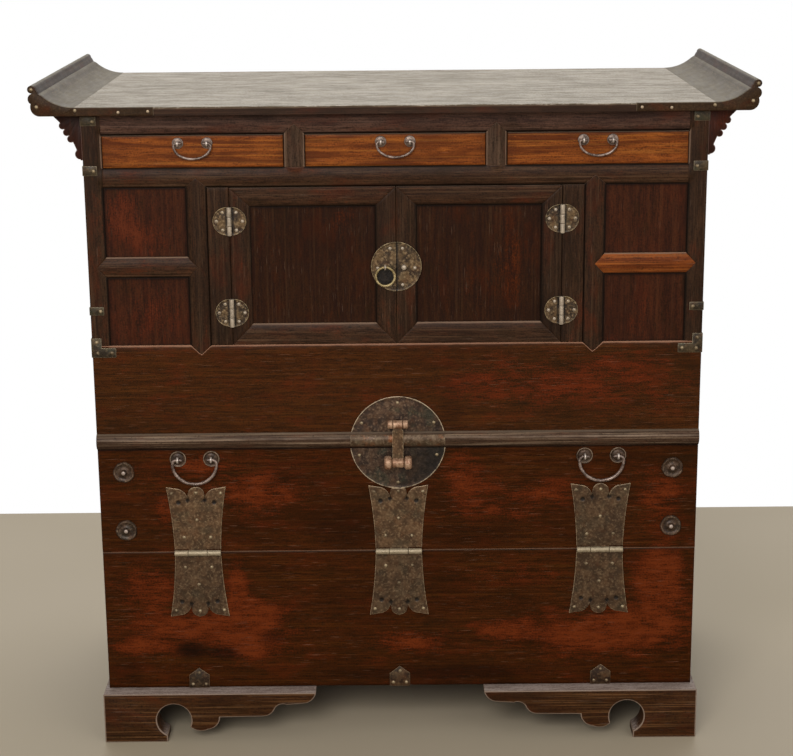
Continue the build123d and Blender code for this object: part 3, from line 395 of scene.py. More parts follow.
# panels of the doors, near black with fine upright scratches
DOOR_PANEL = Wood("door_panel", "#21100a", "#321b0d", "#48301d", Grain.Z, worn="#421b08",
                  worn_light="#5a2b10", lines=0.35, scratches=0.3, figure=0.12, contrast=1.5,
                  shine=0.05)
# drawer fronts, orange brown with dark and yellow streaks
DRAWER = Wood("drawer_front", "#4e220a", "#8c4a1a", "#b8782f", Grain.X, worn="#9c561e",
              worn_light="#b06c2e", stain="#451d09", figure=0.75, rub="#a5806a", scratches=0.1, rings=12.0,
              lines=0.3, contrast=1.05)
# bare orange brown wood of the one muntin whose lacquer has gone
BARE = Wood("bare_muntin", "#4e220c", "#86441a", "#aa642e", Grain.X, worn="#8c4718", worn_light="#a85a26",
            figure=0.5, lines=0.6, contrast=1.2, rings=5.0)
# the top, bleached by light and dust on its flat and dark on its edges
TOP = Wood("bleached_top", "#24150c", "#382418", "#4e3827", Grain.X, dusty=0.95, dust="#6c604b",
           film="#b7ac9c", filmy=0.95, roughness=0.5, rub="#75614d", shine=0.1)
# scroll ends, lacquered like the frame, dull and dusty above
SCROLL = Wood("scroll_end", "#281a10", "#3e2d1d", "#5a4630", Grain.Y, dusty=0.9, dust="#564a35",
              film="#685c42", filmy=0.7, rub="#8d7d66", shine=0.06)
# carved brackets under the scrolls, reddish brown lacquer
BRACKET = Wood("carved_bracket", "#22110b", "#3a1c12", "#4b2a1c", Grain.Z, rub="#7a6258")
# half round moulding, its lacquer rubbed off down to grey brown wood
MOULDING = Wood("half_round", "#302016", "#523c2c", "#8a745e", Grain.X, figure=0.35, lines=0.8,
                rub="#8f7a68")
# base blocks with open grain, and a ledge that catches dust
BASE = Wood("base_block", "#2a160a", "#442812", "#6b4a2c", Grain.X, dusty=0.9, dust="#7d6c62",
            film="#a5958b", filmy=0.8, rub="#8c7868", lines=0.8, contrast=1.3)
# plain softwood inside, browned with age
PLAIN = Wood("inner_board", "#4f3826", "#735439", "#8f6e4e", Grain.X, worn="#755030",
             worn_light="#84603c", stain="#463120", dusty=0.1, roughness=0.6, scratches=0.1, lines=0.3)
# rough softwood of the back, darker than inside
BACKING = Wood("rough_back_board", "#2f2118", "#493627", "#63503b", Grain.X, worn="#4d3420",
               worn_light="#5c4028", stain="#281b12", dusty=0.3, roughness=0.65, scratches=0.3,
               figure=0.4, rub="#7b6a55", contrast=0.8)
# leaves of the strap hinges, pitted brown iron
STRAP = Iron("pitted_strap_iron", "#432f1d", "#61472f", "#866e50", tarnished=0.2, edge="#a18a6c",
             polish="#a3947a", speckle=0.65)
# the round lock plate, blackened
LOCK = Iron("dark_lock_iron", "#30221a", "#523b2a", "#7b644f", edge="#b5a084", tarnished=0.5,
            polish="#7c6558", speckle=0.7)
# sleeve of the lock plate over the moulding, with a rusty skin
SLEEVE = Iron("rusty_sleeve_iron", "#43301f", "#66523e", "#8a755e", rust="#8a4c22", rusty=0.5,
              tarnished=0.25)
# thin straps round the corners, nearly as dark as the wood
CORNER = Iron("corner_iron", "#271e13", "#423420", "#64543c", tarnished=0.4, edge="#93856c")
# small pointed plates over the base, as brown as the board
PLATE = Iron("brown_nail_plate", "#2a1a0f", "#4b3521", "#6b5338", edge="#806c52", tarnished=0.15)
# round hinges and the door plate, brassy with wear
HINGE = Iron("round_hinge_iron", "#2c1f13", "#5f492e", "#937a5a", edge="#ab9670", polish="#b0a08c",
             tarnished=0.15, speckle=0.7)
# bails and their eyes, bright from handling
BAIL = Iron("handled_bail_iron", "#54453d", "#8e7b70", "#b8a79d", rust="#6b4c3e", edge="#cbbab0",
            polish="#c6b8ac", tarnished=0.0, roughness=0.34, rusty=0.15, metallic=0.5)
# domed bosses of the drawers' bails, iron a little darker than the bails
BOSS = Iron("handled_boss_iron", "#463931", "#776559", "#a8968a", rust="#6b4c3e", edge="#a3938a",
            tarnished=0.0, roughness=0.36, rusty=0.15, metallic=0.5)
# the ring pull, bright brassy iron
RING = Iron("bright_ring_iron", "#75633f", "#b09c70", "#d4c295", tarnished=0.0, rusty=0.1, metallic=0.5)
# hasp and lugs, worn to copper brown
HASP = Iron("copper_worn_hasp", "#7a563e", "#ac8a6e", "#d5b49a", rust="#7a4e32", rusty=0.2,
            tarnished=0.0, speckle=0.35, polish="#c2a48a")
# nail heads of dull iron
NAIL = Iron("dull_nail", "#66553f", "#9c896b", "#c0ad8d", rusty=0.15, metallic=0.5, tarnished=0.0)
# rosettes and the plates of the bails, brown iron
STUD = Iron("brown_rosette", "#2a1c13", "#493526", "#6e5846", edge="#8a7560", polish="#b09f92",
            tarnished=0.15, speckle=0.7)


# ---- surfaces
@dataclass
class Shape:
    """A closed surface in millimetres, with values painted on its points."""

    points: Array
    quads: Array
    caps: list[list[int]] = field(default_factory=list)
    paint: dict[str, Array] = field(default_factory=dict)

    def mirrored(self, axis: int = 0) -> "Shape":
        """The other hand across the middle of an axis, turned the right way out."""
        return Shape(self.points * np.where(np.arange(3) == axis, -1, 1), self.quads[:, ::-1],
                     [cap[::-1] for cap in self.caps], self.paint)

    def polished(self, amount: float = 1.0) -> "Shape":
        """The same surface, kept this bright by hands."""
        self.paint["polish"] = np.full(len(self.points), amount)
        return self


def joined(shapes: Iterable[Shape]) -> Shape:
    """Put several surfaces into one.

    Args:
        shapes: Closed surfaces.

    Returns:
        One surface, with 0 where a part has no such paint.
    """
    shapes = list(shapes)
    starts = np.cumsum([0] + [len(s.points) for s in shapes[:-1]])
    names = {name for s in shapes for name in s.paint}
    paint = {name: np.concatenate([s.paint.get(name, np.zeros(len(s.points))) for s in shapes])
             for name in names}
    caps = [[i + int(start) for i in cap] for s, start in zip(shapes, starts) for cap in s.caps]
    return Shape(np.concatenate([s.points for s in shapes]),
                 np.concatenate([s.quads + start for s, start in zip(shapes, starts)]), caps, paint)


def quads_of(index: Array) -> Array:
    """Four sided faces between neighbours in a grid of point numbers."""
    corners = (index[:-1, :-1], index[1:, :-1], index[1:, 1:], index[:-1, 1:])
    return np.stack(corners, axis=-1).reshape(-1, 4)


def closed_quads(rows: int, columns: int, ring: bool = False) -> Array:
    """Faces of a grid whose last column meets its first one, and its last row the first for a ring.

    Args:
        rows: Number of rows.
        columns: Points in a row.
        ring: Whether the rows close too.

    Returns:
        Four point numbers for each face.
    """
    index = np.arange(rows * columns).reshape(rows, columns)
    if ring:
        index = np.vstack([index, index[:1]])
    return quads_of(np.hstack([index, index[:, :1]]))


def about(axis: int, first: Array, second: Array, along: Array | float) -> Array:
    """Points from their places on the two axes that follow an axis, and along it."""
    points = np.zeros((*np.broadcast(first, second, along).shape, 3))
    points[..., (axis + 1) % 3], points[..., (axis + 2) % 3], points[..., axis] = first, second, along
    return points


def stations(low: float, high: float, step: float, edge: float = 1.6) -> Array:
    """Places from low to high, closer together near both ends, where the edge is eased.

    Args:
        low: First place.
        high: Last place.
        step: Distance between them.
        edge: Width of the close ones at an end.

    Returns:
        The places in order.
    """
    near = np.array([0.0, 0.25, 0.55, 1.0]) * edge
    count = max(2, round((high - low - 2 * edge) / step) + 1)
    return np.concatenate([low + near, np.linspace(low + edge, high - edge, count)[1:-1],
                           high - near[::-1]])


def fade(distance: Array, width: float) -> Array:
    """1 at a distance of 0, falling in a straight line to 0 at the width and beyond it."""
    return np.clip(1 - distance / width, 0, 1)


def wander(a: Array, b: Array, seed: int, size: float) -> Array:
    """Gentle unevenness between -1 and 1: a sum of six sine waves in directions drawn from the seed.

    Args:
        a: Places along one axis.
        b: Places along the other.
        seed: Seed of the draw.
        size: Length of a middling wave.

    Returns:
        One value for each point.
    """
    draw, waves = np.random.default_rng(seed), 6
    total = np.zeros(np.broadcast(a, b).shape)
    for _ in range(waves):
        turn, phase, stretch = draw.uniform(0, math.tau), draw.uniform(0, math.tau), draw.uniform(0.6, 1.8)
        wave = math.tau / (size * stretch)
        total += np.sin(wave * (a * math.cos(turn) + b * math.sin(turn)) + phase)
    return total / waves


class Facing(Enum):
    """Where the worked face of a slab looks: axes of its two parameters, and of its thickness."""

    FRONT = (0, 2, 1)
    TOP = (0, 1, 2)


# strip round a worked face: its width, and the share of the paint that is left behind it
LIP, LIP_PAINT = 0.5, 0.6


def slab(a: Array, b: Array, out: Array, back: float, facing: Facing = Facing.FRONT,
         paint: dict[str, Array] | None = None) -> Shape:
    """A board with a worked face: a grid over (a, b) at height out, straight walls and a flat back.

    A narrow strip round the face takes up the turn of the shading, so that the walls stay flat.

    Args:
        a: Places to the right, one per grid point.
        b: Places upwards (or to the back, on a top), one per grid point.
        out: Coordinate of the worked face along its own axis.
        back: Coordinate of the flat back.
        facing: Where the worked face looks.
        paint: Values for each grid point, which fade out on the walls.

    Returns:
        The closed board.
    """
    axis_a, axis_b, axis_out = facing.value
    rows, columns = a.shape
    index = np.arange(rows * columns).reshape(a.shape)
    rim = np.concatenate([index[:, 0], index[-1, 1:], index[-2::-1, -1], index[0, -2:0:-1]])
    face = np.zeros((rows * columns, 3))
    face[:, axis_a], face[:, axis_b], face[:, axis_out] = a.ravel(), b.ravel(), out.ravel()
    lip, behind = face[rim].copy(), face[rim].copy()
    lip[:, axis_out] += np.clip(back - lip[:, axis_out], -LIP, LIP)
    behind[:, axis_out] = back
    ring = np.arange(len(rim) + 1) % len(rim)
    rings = np.stack([rim[ring], rows * columns + ring, rows * columns + len(rim) + ring])
    walls = np.concatenate([np.stack([near[:-1], far[:-1], far[1:], near[1:]], axis=-1)
                            for near, far in zip(rings[:-1], rings[1:])])
    cap = (rows * columns + len(rim) + np.arange(len(rim))[::-1]).tolist()
    values = {}
    for name, value in (paint or {}).items():
        flat_value = np.broadcast_to(value, a.shape).ravel()
        values[name] = np.concatenate([flat_value, LIP_PAINT * flat_value[rim], 0.0 * flat_value[rim]])
    return Shape(np.vstack([face, lip, behind]), np.vstack([quads_of(index), walls]), [cap], values)


def turned(profile: Sequence[Pair], axis: int, centre: Sequence[float], sides: int = 40,
           wobble: float = 0.0) -> Shape:
    """A turned piece: a profile of (radius, place along the axis) carried round the axis.

    Args:
        profile: From one end of the axis to the other; a radius of 0 closes an end.
        axis: 0, 1 or 2, the axis it is turned about.
        centre: Point that the places are counted from.
        sides: Steps round the axis.
        wobble: Share by which the radius varies round the axis, as on a hammered edge.

    Returns:
        The closed piece.
    """
    radius, along = np.array(profile, float).T
    angle = np.linspace(0, math.tau, sides, endpoint=False)
    uneven = 1 + wobble * (np.sin(3 * angle + 1) + np.sin(7 * angle)) / 2
    points = about(axis, radius[:, None] * np.cos(angle) * uneven, radius[:, None] * np.sin(angle) * uneven,
                   along[:, None])
    faces = closed_quads(len(radius), sides)
    if along[-1] > along[0]:
        faces = faces[:, ::-1]
    return Shape(points.reshape(-1, 3) + np.array(centre, float), faces)


def tube(path: Array, radius: Array, sides: int = 18) -> Shape:
    """A round wire along a path in a plane of constant y, with rounded ends.

    Each section lies square to the path; the ends are rings that shrink as a half ball does.

    Args:
        path: Points of its middle.
        radius: Radius at each point.
        sides: Steps round the wire.

    Returns:
        The closed wire.
    """
    run = np.gradient(path, axis=0)
    run /= np.linalg.norm(run, axis=1, keepdims=True)
    swell = np.linspace(0, math.pi / 2, 6)[:-1]
    start = path[0] - run[0] * radius[0] * np.cos(swell)[:, None]
    end = path[-1] + run[-1] * radius[-1] * np.cos(swell[::-1])[:, None]
    centres = np.vstack([start, path, end])
    rings = len(swell)
    runs = np.vstack([np.repeat(run[:1], rings, 0), run, np.repeat(run[-1:], rings, 0)])
    radii = np.concatenate([radius[0] * np.sin(swell), radius, radius[-1] * np.sin(swell[::-1])])
    side = np.stack([-runs[:, 2], np.zeros(len(runs)), runs[:, 0]], axis=1)
    angle = np.linspace(0, math.tau, sides, endpoint=False)
    points = (centres[:, None] + radii[:, None, None] * (side[:, None] * np.cos(angle)[:, None]
              + np.array([0.0, 1.0, 0.0]) * np.sin(angle)[:, None]))
    return Shape(points.reshape(-1, 3), closed_quads(len(centres), sides))


def link(major: float, wall: float, half: float, centre: Sequence[float], axis: int) -> Shape:
    """A rounded ring: an ellipse of wall by half carried round an axis at the major radius.

    Args:
        major: Radius of the ring's middle.
        wall: Half of its thickness.
        half: Half of its width.
        centre: Middle of the ring.
        axis: 0, 1 or 2, the axis it goes round.

    Returns:
        The closed ring.
    """
    steps, laps = 36, 14
    turn = np.linspace(0, math.tau, steps, endpoint=False)[:, None]
    lap = np.linspace(0, math.tau, laps, endpoint=False)[None]
    reach = major + wall * np.cos(lap)
    points = about(axis, reach * np.cos(turn), reach * np.sin(turn), half * np.sin(lap))
    return Shape(points.reshape(-1, 3) + np.array(centre, float), closed_quads(steps, laps, ring=True))


def swept(outline: Array, places: Sequence[Pair], axis: int,
          paint: dict[str, Array] | None = None) -> Shape:
    """A moulding: a closed outline carried along an axis.

    Args:
        outline: Points (first other axis, second other axis), in order round the piece.
        places: Along the axis, with how far the outline is drawn in there to ease the ends.
        axis: 0 for an outline in (y, z), 1 for one in (z, x).
        paint: Values for each point of the outline.

    Returns:
        The closed moulding.
    """
    before, after = np.roll(outline, 1, axis=0), np.roll(outline, -1, axis=0)
    along = after - before
    normal = np.stack([along[:, 1], -along[:, 0]], axis=1)
    normal /= np.linalg.norm(normal, axis=1, keepdims=True) + 1e-9
    area = np.sum(outline[:, 0] * after[:, 1] - after[:, 0] * outline[:, 1])
    normal *= 1 if area > 0 else -1
    rings = [about(axis, *(outline - normal * draw).T, along_axis) for along_axis, draw in places]
    count = len(outline)
    faces, first = closed_quads(len(places), count), list(range(count))[::-1]
    last = list(range((len(places) - 1) * count, len(places) * count))
    if area > 0:
        faces = faces[:, ::-1]
    else:
        first, last = first[::-1], last[::-1]
    values = {name: np.tile(value, len(places)) for name, value in (paint or {}).items()}
    return Shape(np.concatenate(rings), faces, [first, last], values)


# ---- putting pieces into the scene
def linked(name: str, data: bpy.types.ID) -> bpy.types.Object:
    """Put a mesh, a lamp or a camera into the scene as a new object."""
    made = bpy.data.objects.new(name, data)
    bpy.context.scene.collection.objects.link(made)
    return made


def dress(name: str, mesh: bpy.types.Mesh, finish: Finish, body: str, nodes: Sequence[str]) -> bpy.types.Object:
    """Give a mesh its finish, put it into the scene and let it ride on a body.

    Args:
        name: Name of the piece.
        mesh: Its mesh, in metres.
        finish: What it is made of.
        body: Body that it rides on.
        nodes: CAD nodes that it stands for.

    Returns:
        The new object.
    """
    mesh.materials.append(finish.material())
    mesh.shade_smooth()
    mesh.set_sharp_from_angle(angle=SMOOTH_UNDER)
    piece = linked(name, mesh)
    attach(piece, body)
    if nodes:
        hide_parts(*nodes)
    LOG.info("%s: %d faces, rides on %s", name, len(mesh.polygons), body)
    return piece


def place(name: str, shapes: Shape | Iterable[Shape], finish: Finish, body: str,
          nodes: Sequence[str] = ()) -> bpy.types.Object:
    """Make a piece from worked out surfaces.

    Args:
        name: Name of the piece.
        shapes: One closed surface or several.
        finish: What it is made of.
        body: Body that it rides on.
        nodes: CAD nodes that it stands for.

    Returns:
        The new object.
    """
    shape = shapes if isinstance(shapes, Shape) else joined(shapes)
    mesh = bpy.data.meshes.new(name)
    mesh.from_pydata(shape.points * MM, [], [*shape.quads.tolist(), *shape.caps])
    for label, value in shape.paint.items():
        mesh.attributes.new(label, "FLOAT", "POINT").data.foreach_set("value", value.astype(np.float32))
    work = bmesh.new()
    work.from_mesh(mesh)
    bmesh.ops.remove_doubles(work, verts=work.verts, dist=MERGE_MM * MM)
    work.to_mesh(mesh)
    work.free()
    return dress(name, mesh, finish, body, nodes)


def worked(node: str, shapes: Shape | Iterable[Shape], finish: Finish,
           body: str = "carcass") -> bpy.types.Object:
    """Make the piece that stands for one CAD node and is named after it."""
    return place(node + "_worked", shapes, finish, body, [node])


def softened(node: str, ease: float, finish: Finish, body: str = "carcass") -> bpy.types.Object:
    """Make a piece from a copy of a CAD node with its sharp edges rounded, and the rounding painted lighter:
    wear and a painted highlight.

    Args:
        node: The CAD node, which the piece then stands for.
        ease: Width of the rounding in millimetres.
        finish: What it is made of.
        body: Body that it rides on.

    Returns:
        The new object.
    """
    work = bmesh.new()
    work.from_mesh(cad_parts[node].data)
    bmesh.ops.remove_doubles(work, verts=work.verts, dist=MERGE_MM * MM)
    bmesh.ops.dissolve_limit(work, angle_limit=FLAT_UNDER, verts=work.verts, edges=work.edges)
    # the rounded faces are painted lighter: worn edges with a painted highlight
    rub = work.faces.layers.float.new("rub")
    sharp = [e for e in work.edges if e.is_manifold and e.calc_face_angle(0) > SHARP_OVER]
    rounded = bmesh.ops.bevel(work, geom=sharp, offset=ease * MM, offset_type="OFFSET", segments=2,
                              profile=0.5, affect="EDGES", clamp_overlap=False)
    for face in rounded["faces"]:
        face[rub] = 1.0
    mesh = bpy.data.meshes.new(node + "_worked")
    work.to_mesh(mesh)
    work.free()
    return dress(node + "_worked", mesh, finish, body, [node])


# ---- the front
@dataclass(frozen=True)
class Patch:
    """A soft spot on the front, worn bare or soiled: its middle, its half size, and how much."""

    x: float
    z: float
    half_w: float
    half_h: float
    amount: float


WORN = tuple(Patch(*row) for row in (
    (-211, 398, 66, 34, 0.75), (-297, 441, 34, 14, 0.8), (-352, 368, 16, 26, 0.6), (-390, 420, 40, 20, 0.3),
    (154, 376, 70, 30, 0.45), (96, 420, 34, 40, 0.6), (392, 385, 36, 46, 0.6), (235, 395, 40, 18, 0.5),
    (-379, 240, 46, 44, 0.7), (-246, 236, 16, 46, 0.8), (-225, 200, 44, 26, 0.8), (-300, 180, 96, 20, 0.8),
    (-392, 146, 46, 15, 0.7), (-235, 145, 60, 20, 0.7), (-20, 262, 14, 34, 0.6), (10, 152, 50, 18, 0.7),
    (398, 245, 40, 56, 0.95), (314, 165, 128, 38, 0.85), (150, 170, 40, 14, 0.5), (170, 262, 90, 16, 0.35),
    (330, 566, 110, 46, 0.5), (170, 560, 90, 34, 0.5), (-260, 560, 120, 40, 0.15), (-396, 820, 28, 34, 0.6),
    (-366, 785, 26, 24, 0.45), (-354, 672, 34, 44, 0.45), (352, 806, 30, 44, 0.15), (357, 664, 40, 40, 0.2),
    (168, 738, 16, 60, 0.5), (120, 720, 30, 50, 0.2), (-77, 815, 14, 12, 0.45),
))
SOILED = tuple(Patch(*row) for row in (
    (-322, 142, 24, 14, 0.7), (-268, 136, 26, 12, 0.6), (-196, 160, 22, 12, 0.5), (-90, 338, 60, 34, 0.4),
    (-150, 430, 60, 26, 0.3), (120, 330, 80, 22, 0.35), (-60, 230, 70, 50, 0.25), (60, 200, 40, 60, 0.2),
    (40, 100, 200, 16, 0.5), (-420, 108, 30, 24, 0.4), (-300, 500, 100, 20, 0.2), (60, 600, 90, 16, 0.25),
    (-150, 790, 60, 40, 0.25), (210, 660, 50, 30, 0.2), (-330, 720, 60, 14, 0.2), (236, 790, 26, 80, 0.4),
    (232, 660, 26, 40, 0.3), (-242, 800, 26, 60, 0.3), (-250, 655, 24, 36, 0.35), (80, 524, 22, 40, 0.35),
    (396, 690, 16, 50, 0.3),
))


# patches stop fading out at this many times their size
FAR = 6


def blots(x: Array, z: Array, patches: Sequence[Patch], most: float) -> Array:
    """Sum of patches, each a soft flat topped blot: one over one plus the fourth power of the reach.

    Args:
        x: Places to the right.
        z: Places upwards.
        patches: The patches.
        most: The sum is held at this.

    Returns:
        One value for each point.
    """
    total = np.zeros(np.broadcast(x, z).shape)
    for patch in patches:
        reach = np.hypot((x - patch.x) / patch.half_w, (z - patch.z) / patch.half_h)
        total += patch.amount / (1 + np.minimum(reach, FAR) ** 4)
    return np.minimum(total, most)


def bloom(x: Array, z: Array) -> Array:
    """How far the lacquer is worn off."""
    return blots(x, z, WORN, most=0.85)


def soiled(x: Array, z: Array) -> Array:
    """How far the board is blackened."""
    return blots(x, z, SOILED, most=0.8)


@dataclass(frozen=True)
class Front:
    """Places in the front face, in millimetres, the same as the frame's.

    Names in x are places on the right hand side, the others heights, from the base to the body's top.
    """

    y: float = round(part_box("front_board")[0].y / MM, 3)
    thickness: float = 20.0
    half: float = round(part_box("front_board")[1].x / MM, 3)
    base: float = 80.0
    seam: float = 302.0
    mould: float = 466.0
    mould_top: float = 490.0
    sill: float = 625.0
    head: float = 859.0
    deck: float = 888.0
    drawer_top: float = 936.0
    body_top: float = 967.0
    post_x: float = 423.0
    stile_x: float = 273.5
    panel_x: float = 304.5
    door_half: float = 242.0
    divider_x: float = 145.5
    divider_half: float = 14.5
    muntin_z: float = 742.0
    muntin_half: float = 15.5
    point: float = 14.5
    recess: float = 4.0
    panel_t: float = 8.0
    gap: float = 0.3

    @property
    def back(self) -> float:
        """Inner face of the front boards."""
        return self.y + self.thickness

    @property
    def middle(self) -> float:
        """Middle of their thickness, between what belongs to the face and to the back."""
        return self.y + self.thickness / 2

    @property
    def panel_back(self) -> float:
        """Inner face of the panels."""
        return self.y + self.recess + self.panel_t

    def openings(self) -> list[Four]:
        """Openings in the frame as (low x, high x, low z, high z)."""
        lower, upper = self.muntin_z - self.muntin_half, self.muntin_z + self.muntin_half
        inner, outer = self.divider_x - self.divider_half, self.divider_x + self.divider_half
        right = [(self.panel_x, self.post_x, self.sill, lower), (self.panel_x, self.post_x, upper, self.head),
                 (outer, self.post_x, self.deck, self.drawer_top)]
        left = [(-high, -low, bottom, top) for low, high, bottom, top in right]
        return right + left + [(-self.stile_x, self.stile_x, self.sill, self.head),
                               (-inner, inner, self.deck, self.drawer_top)]


F = Front()
OPENINGS = F.openings()


# share of the painted highlight on an edge that gets painted shade instead of being lit
SHADED_EDGE_HIGHLIGHT = 0.15
# a step of the grid on worked boards, and how wide their joints are eased and their faces wave, in mm
STEP = 4.0
JOINT = 1.6
WAVE = 90.0


def bead(x: Array, z: Array, openings: Sequence[Four], width: float,
         depth: float) -> tuple[Array, Array, Array]:
    """Rounding of the frame towards its openings, which meets in mitres at the corners.

    The distance to an opening is the larger of the two along x and z, so its contours turn sharp
    corners; the face falls off by the square of the distance. The edge under an opening gets a painted
    highlight, and of a drawer's opening those at its sides; the others get painted shade.

    Args:
        x: Places to the right.
        z: Places upwards.
        openings: Openings as (low x, high x, low z, high z).
        width: How far from an opening the rounding begins.
        depth: How far it falls back at the opening.

    Returns:
        How far the face lies back, and the painted highlight and the painted shade of the edge, each from 0 to
        1.
    """
    near = np.full(np.broadcast(x, z).shape, 1e3)
    bright = np.zeros_like(near)
    for low_x, high_x, low_z, high_z in openings:
        across = np.maximum(low_x - x, x - high_x)
        below = low_z - z
        gap = np.maximum(np.maximum(across, np.maximum(below, z - high_z)), 0)
        under = (below >= across) & (below >= z - high_z)
        beside = (across > z - high_z) & (across > below)
        bright = np.where(gap < near, np.where(beside if low_z >= F.deck else under, 1.0, SHADED_EDGE_HIGHLIGHT), bright)
        near = np.minimum(near, gap)
    # both are full beside the opening, and end 3.2 and 3.4 mm away from it
    edge, dark = np.clip(1.6 - near / 2.0, 0, 1), np.clip(1.4 - near / 2.4, 0, 1)
    # the painted highlight of lit edges, and the painted shade of the others
    return depth * fade(near, width) ** 2, bright * edge, (bright < 0.5) * dark


def rectangle(left: float, right: float, low: float, high: float) -> list[Pair]:
    """Corners of an upright board as (x, z), from the lower left one round to the upper left."""
    return [(left, low), (right, low), (right, high), (left, high)]


@dataclass(frozen=True)
class Member:
    """How one board is worked: its bead, its eased joints, its unevenness, and its painted highlights and
    shade.

    lit holds how far the lower, right, upper and left side gets wear and a painted highlight; the field after
    it, how far each gets painted shade.
    """

    width: float = 10.0
    depth: float = 2.2
    ease: float = 0.5
    uneven: float = 0.25
    lit: Four = (0.3, 0.45, 0.7, 0.45)
    darkening: Four = NO_SIDE_PAINT
    lit_width: float = 1.8
    shade_width: float = 3.0
    seed: int = 1

    def worked(self, x: Array, z: Array, sides: Sequence[Array],
               openings: Sequence[Four] = (), back: float = F.back, level: float = F.y) -> Shape:
        """Make the board.

        Args:
            x: Grid of places to the right.
            z: Grid of places upwards.
            sides: Distance of each point from the lower, right, upper and left side.
            openings: Openings that the bead follows.
            back: Back of the board.
            level: Face of the board.

        Returns:
            The board as a closed surface.
        """
        fall, rub, painted_dark = bead(x, z, openings, self.width, self.depth)
        joint = np.minimum.reduce(list(sides))
        fall = fall + self.ease * fade(joint, JOINT) ** 2
        hollow = np.clip(joint / 6, 0, 1) * self.uneven * (1 + wander(x, z, self.seed, WAVE)) / 2
        # the sides are painted lighter, worn and with painted highlights, and darker with painted shade, over
        # the worn and soiled patches
        side_highlights = [amount * fade(side, self.lit_width) for amount, side in zip(self.lit, sides)]
        darkened = [amount * fade(side, self.shade_width) ** 1.5 for amount, side in zip(self.darkening, sides)]
        paint = {"bloom": bloom(x, z), "rub": np.maximum.reduce([rub, *side_highlights]),
                 "grime": np.maximum.reduce([soiled(x, z), painted_dark, *darkened])}
        return slab(x, z, level + fall + hollow, back, paint=paint)

    def board(self, corners: Sequence[Pair], step: float = STEP, **more: object) -> Shape:
        """A board with four straight sides, such as a mitred rail.

        A point is the mean of the four corners, weighed by its shares along and up.

        Args:
            corners: Lower left, lower right, upper right and upper left, as (x, z).
            step: Distance between grid lines.
            more: Passed on to worked.

        Returns:
            The board as a closed surface.
        """
        c = np.array(corners, float)
        wide = max(np.ptp(c[:, 0]), 1.0)
        tall = max(np.ptp(c[:, 1]), 1.0)
        s = (stations(0.0, wide, min(step, wide / 6)) / wide)[:, None, None]
        t = (stations(0.0, tall, min(step, tall / 6)) / tall)[None, :, None]
        points = (c[0] * (1 - s) + c[1] * s) * (1 - t) + (c[3] * (1 - s) + c[2] * s) * t
        x, z = points[..., 0], points[..., 1]
        sides = []
        for start, end in zip(c, np.roll(c, -1, axis=0)):
            run = (end - start) / np.hypot(*(end - start))
            sides.append(run[0] * (z - start[1]) - run[1] * (x - start[0]))
        return self.worked(x, z, sides, **more)

    def lying(self, ends: Pair, bottom: Outline, top: Outline, step: float = STEP,
              **more: object) -> Shape:
        """A board along X between two outlines bottom(x) and top(x).

        Args:
            ends: Left and right end.
            bottom: Lower outline.
            top: Upper outline.
            step: Distance between grid lines.
            more: Passed on to worked.

        Returns:
            The board as a closed surface.
        """
        x = stations(*ends, step)
        z_low, z_high = bottom(x)[:, None], top(x)[:, None]
        tall = float(np.max(z_high - z_low))
        z = z_low + (z_high - z_low) * stations(0.0, tall, step)[None] / tall
        x = np.broadcast_to(x[:, None], z.shape)
        return self.worked(x, z, (z - z_low, ends[1] - x, z_high - z, x - ends[0]), **more)

    def standing(self, ends: Pair, inner: Outline, outer: Outline, step: float = STEP,
                 pointed: Pair = (0.0, 0.0), **more: object) -> Shape:
        """A board along Z between two outlines inner(z) and outer(z), with pointed ends if asked.

        Args:
            ends: Lower and upper end.
            inner: Left outline.
            outer: Right outline.
            step: Distance between grid lines.
            pointed: Length of the points below and above the ends.
            more: Passed on to worked.

        Returns:
            The board as a closed surface.
        """
        wide = float(np.min(outer(np.array(ends)) - inner(np.array(ends))))
        share = (stations(0.0, wide, min(step, 2.6)) / wide)[:, None]
        peak = 1 - np.abs(2 * share - 1)
        low, high = ends[0] - pointed[0] * peak, ends[1] + pointed[1] * peak
        z = low + (high - low) * stations(0.0, ends[1] - ends[0], step)[None] / (ends[1] - ends[0])
        x_low, x_high = inner(z), outer(z)
        x = x_low + (x_high - x_low) * share
        return self.worked(x, z, (z - low, x_high - x, high - z, x - x_low), **more)


# the short flat piece between a knuckle and its leaf
TAB = Member(ease=0.1, uneven=0.0, lit=NO_SIDE_PAINT)


def flat(value: float) -> Outline:
    """An outline that is a straight line."""
    return lambda along: np.full(np.shape(along), value)


def notched(value: float, middles: Sequence[float], half: float, depth: float) -> Outline:
    """A straight outline with V shaped notches, where pointed members stand into the board.

    Args:
        value: Place of the straight edge.
        middles: Middles of the notches.
        half: Half of a notch's width.
        depth: How deep it goes, with its direction as the sign.

    Returns:
        The outline.
    """
    def outline(along: Array) -> Array:
        """Distance from the nearest notch's middle sets how deep the V is."""
        away = np.min([np.abs(along - middle) for middle in middles], axis=0)
        return value + depth * fade(away, half)
    return outline


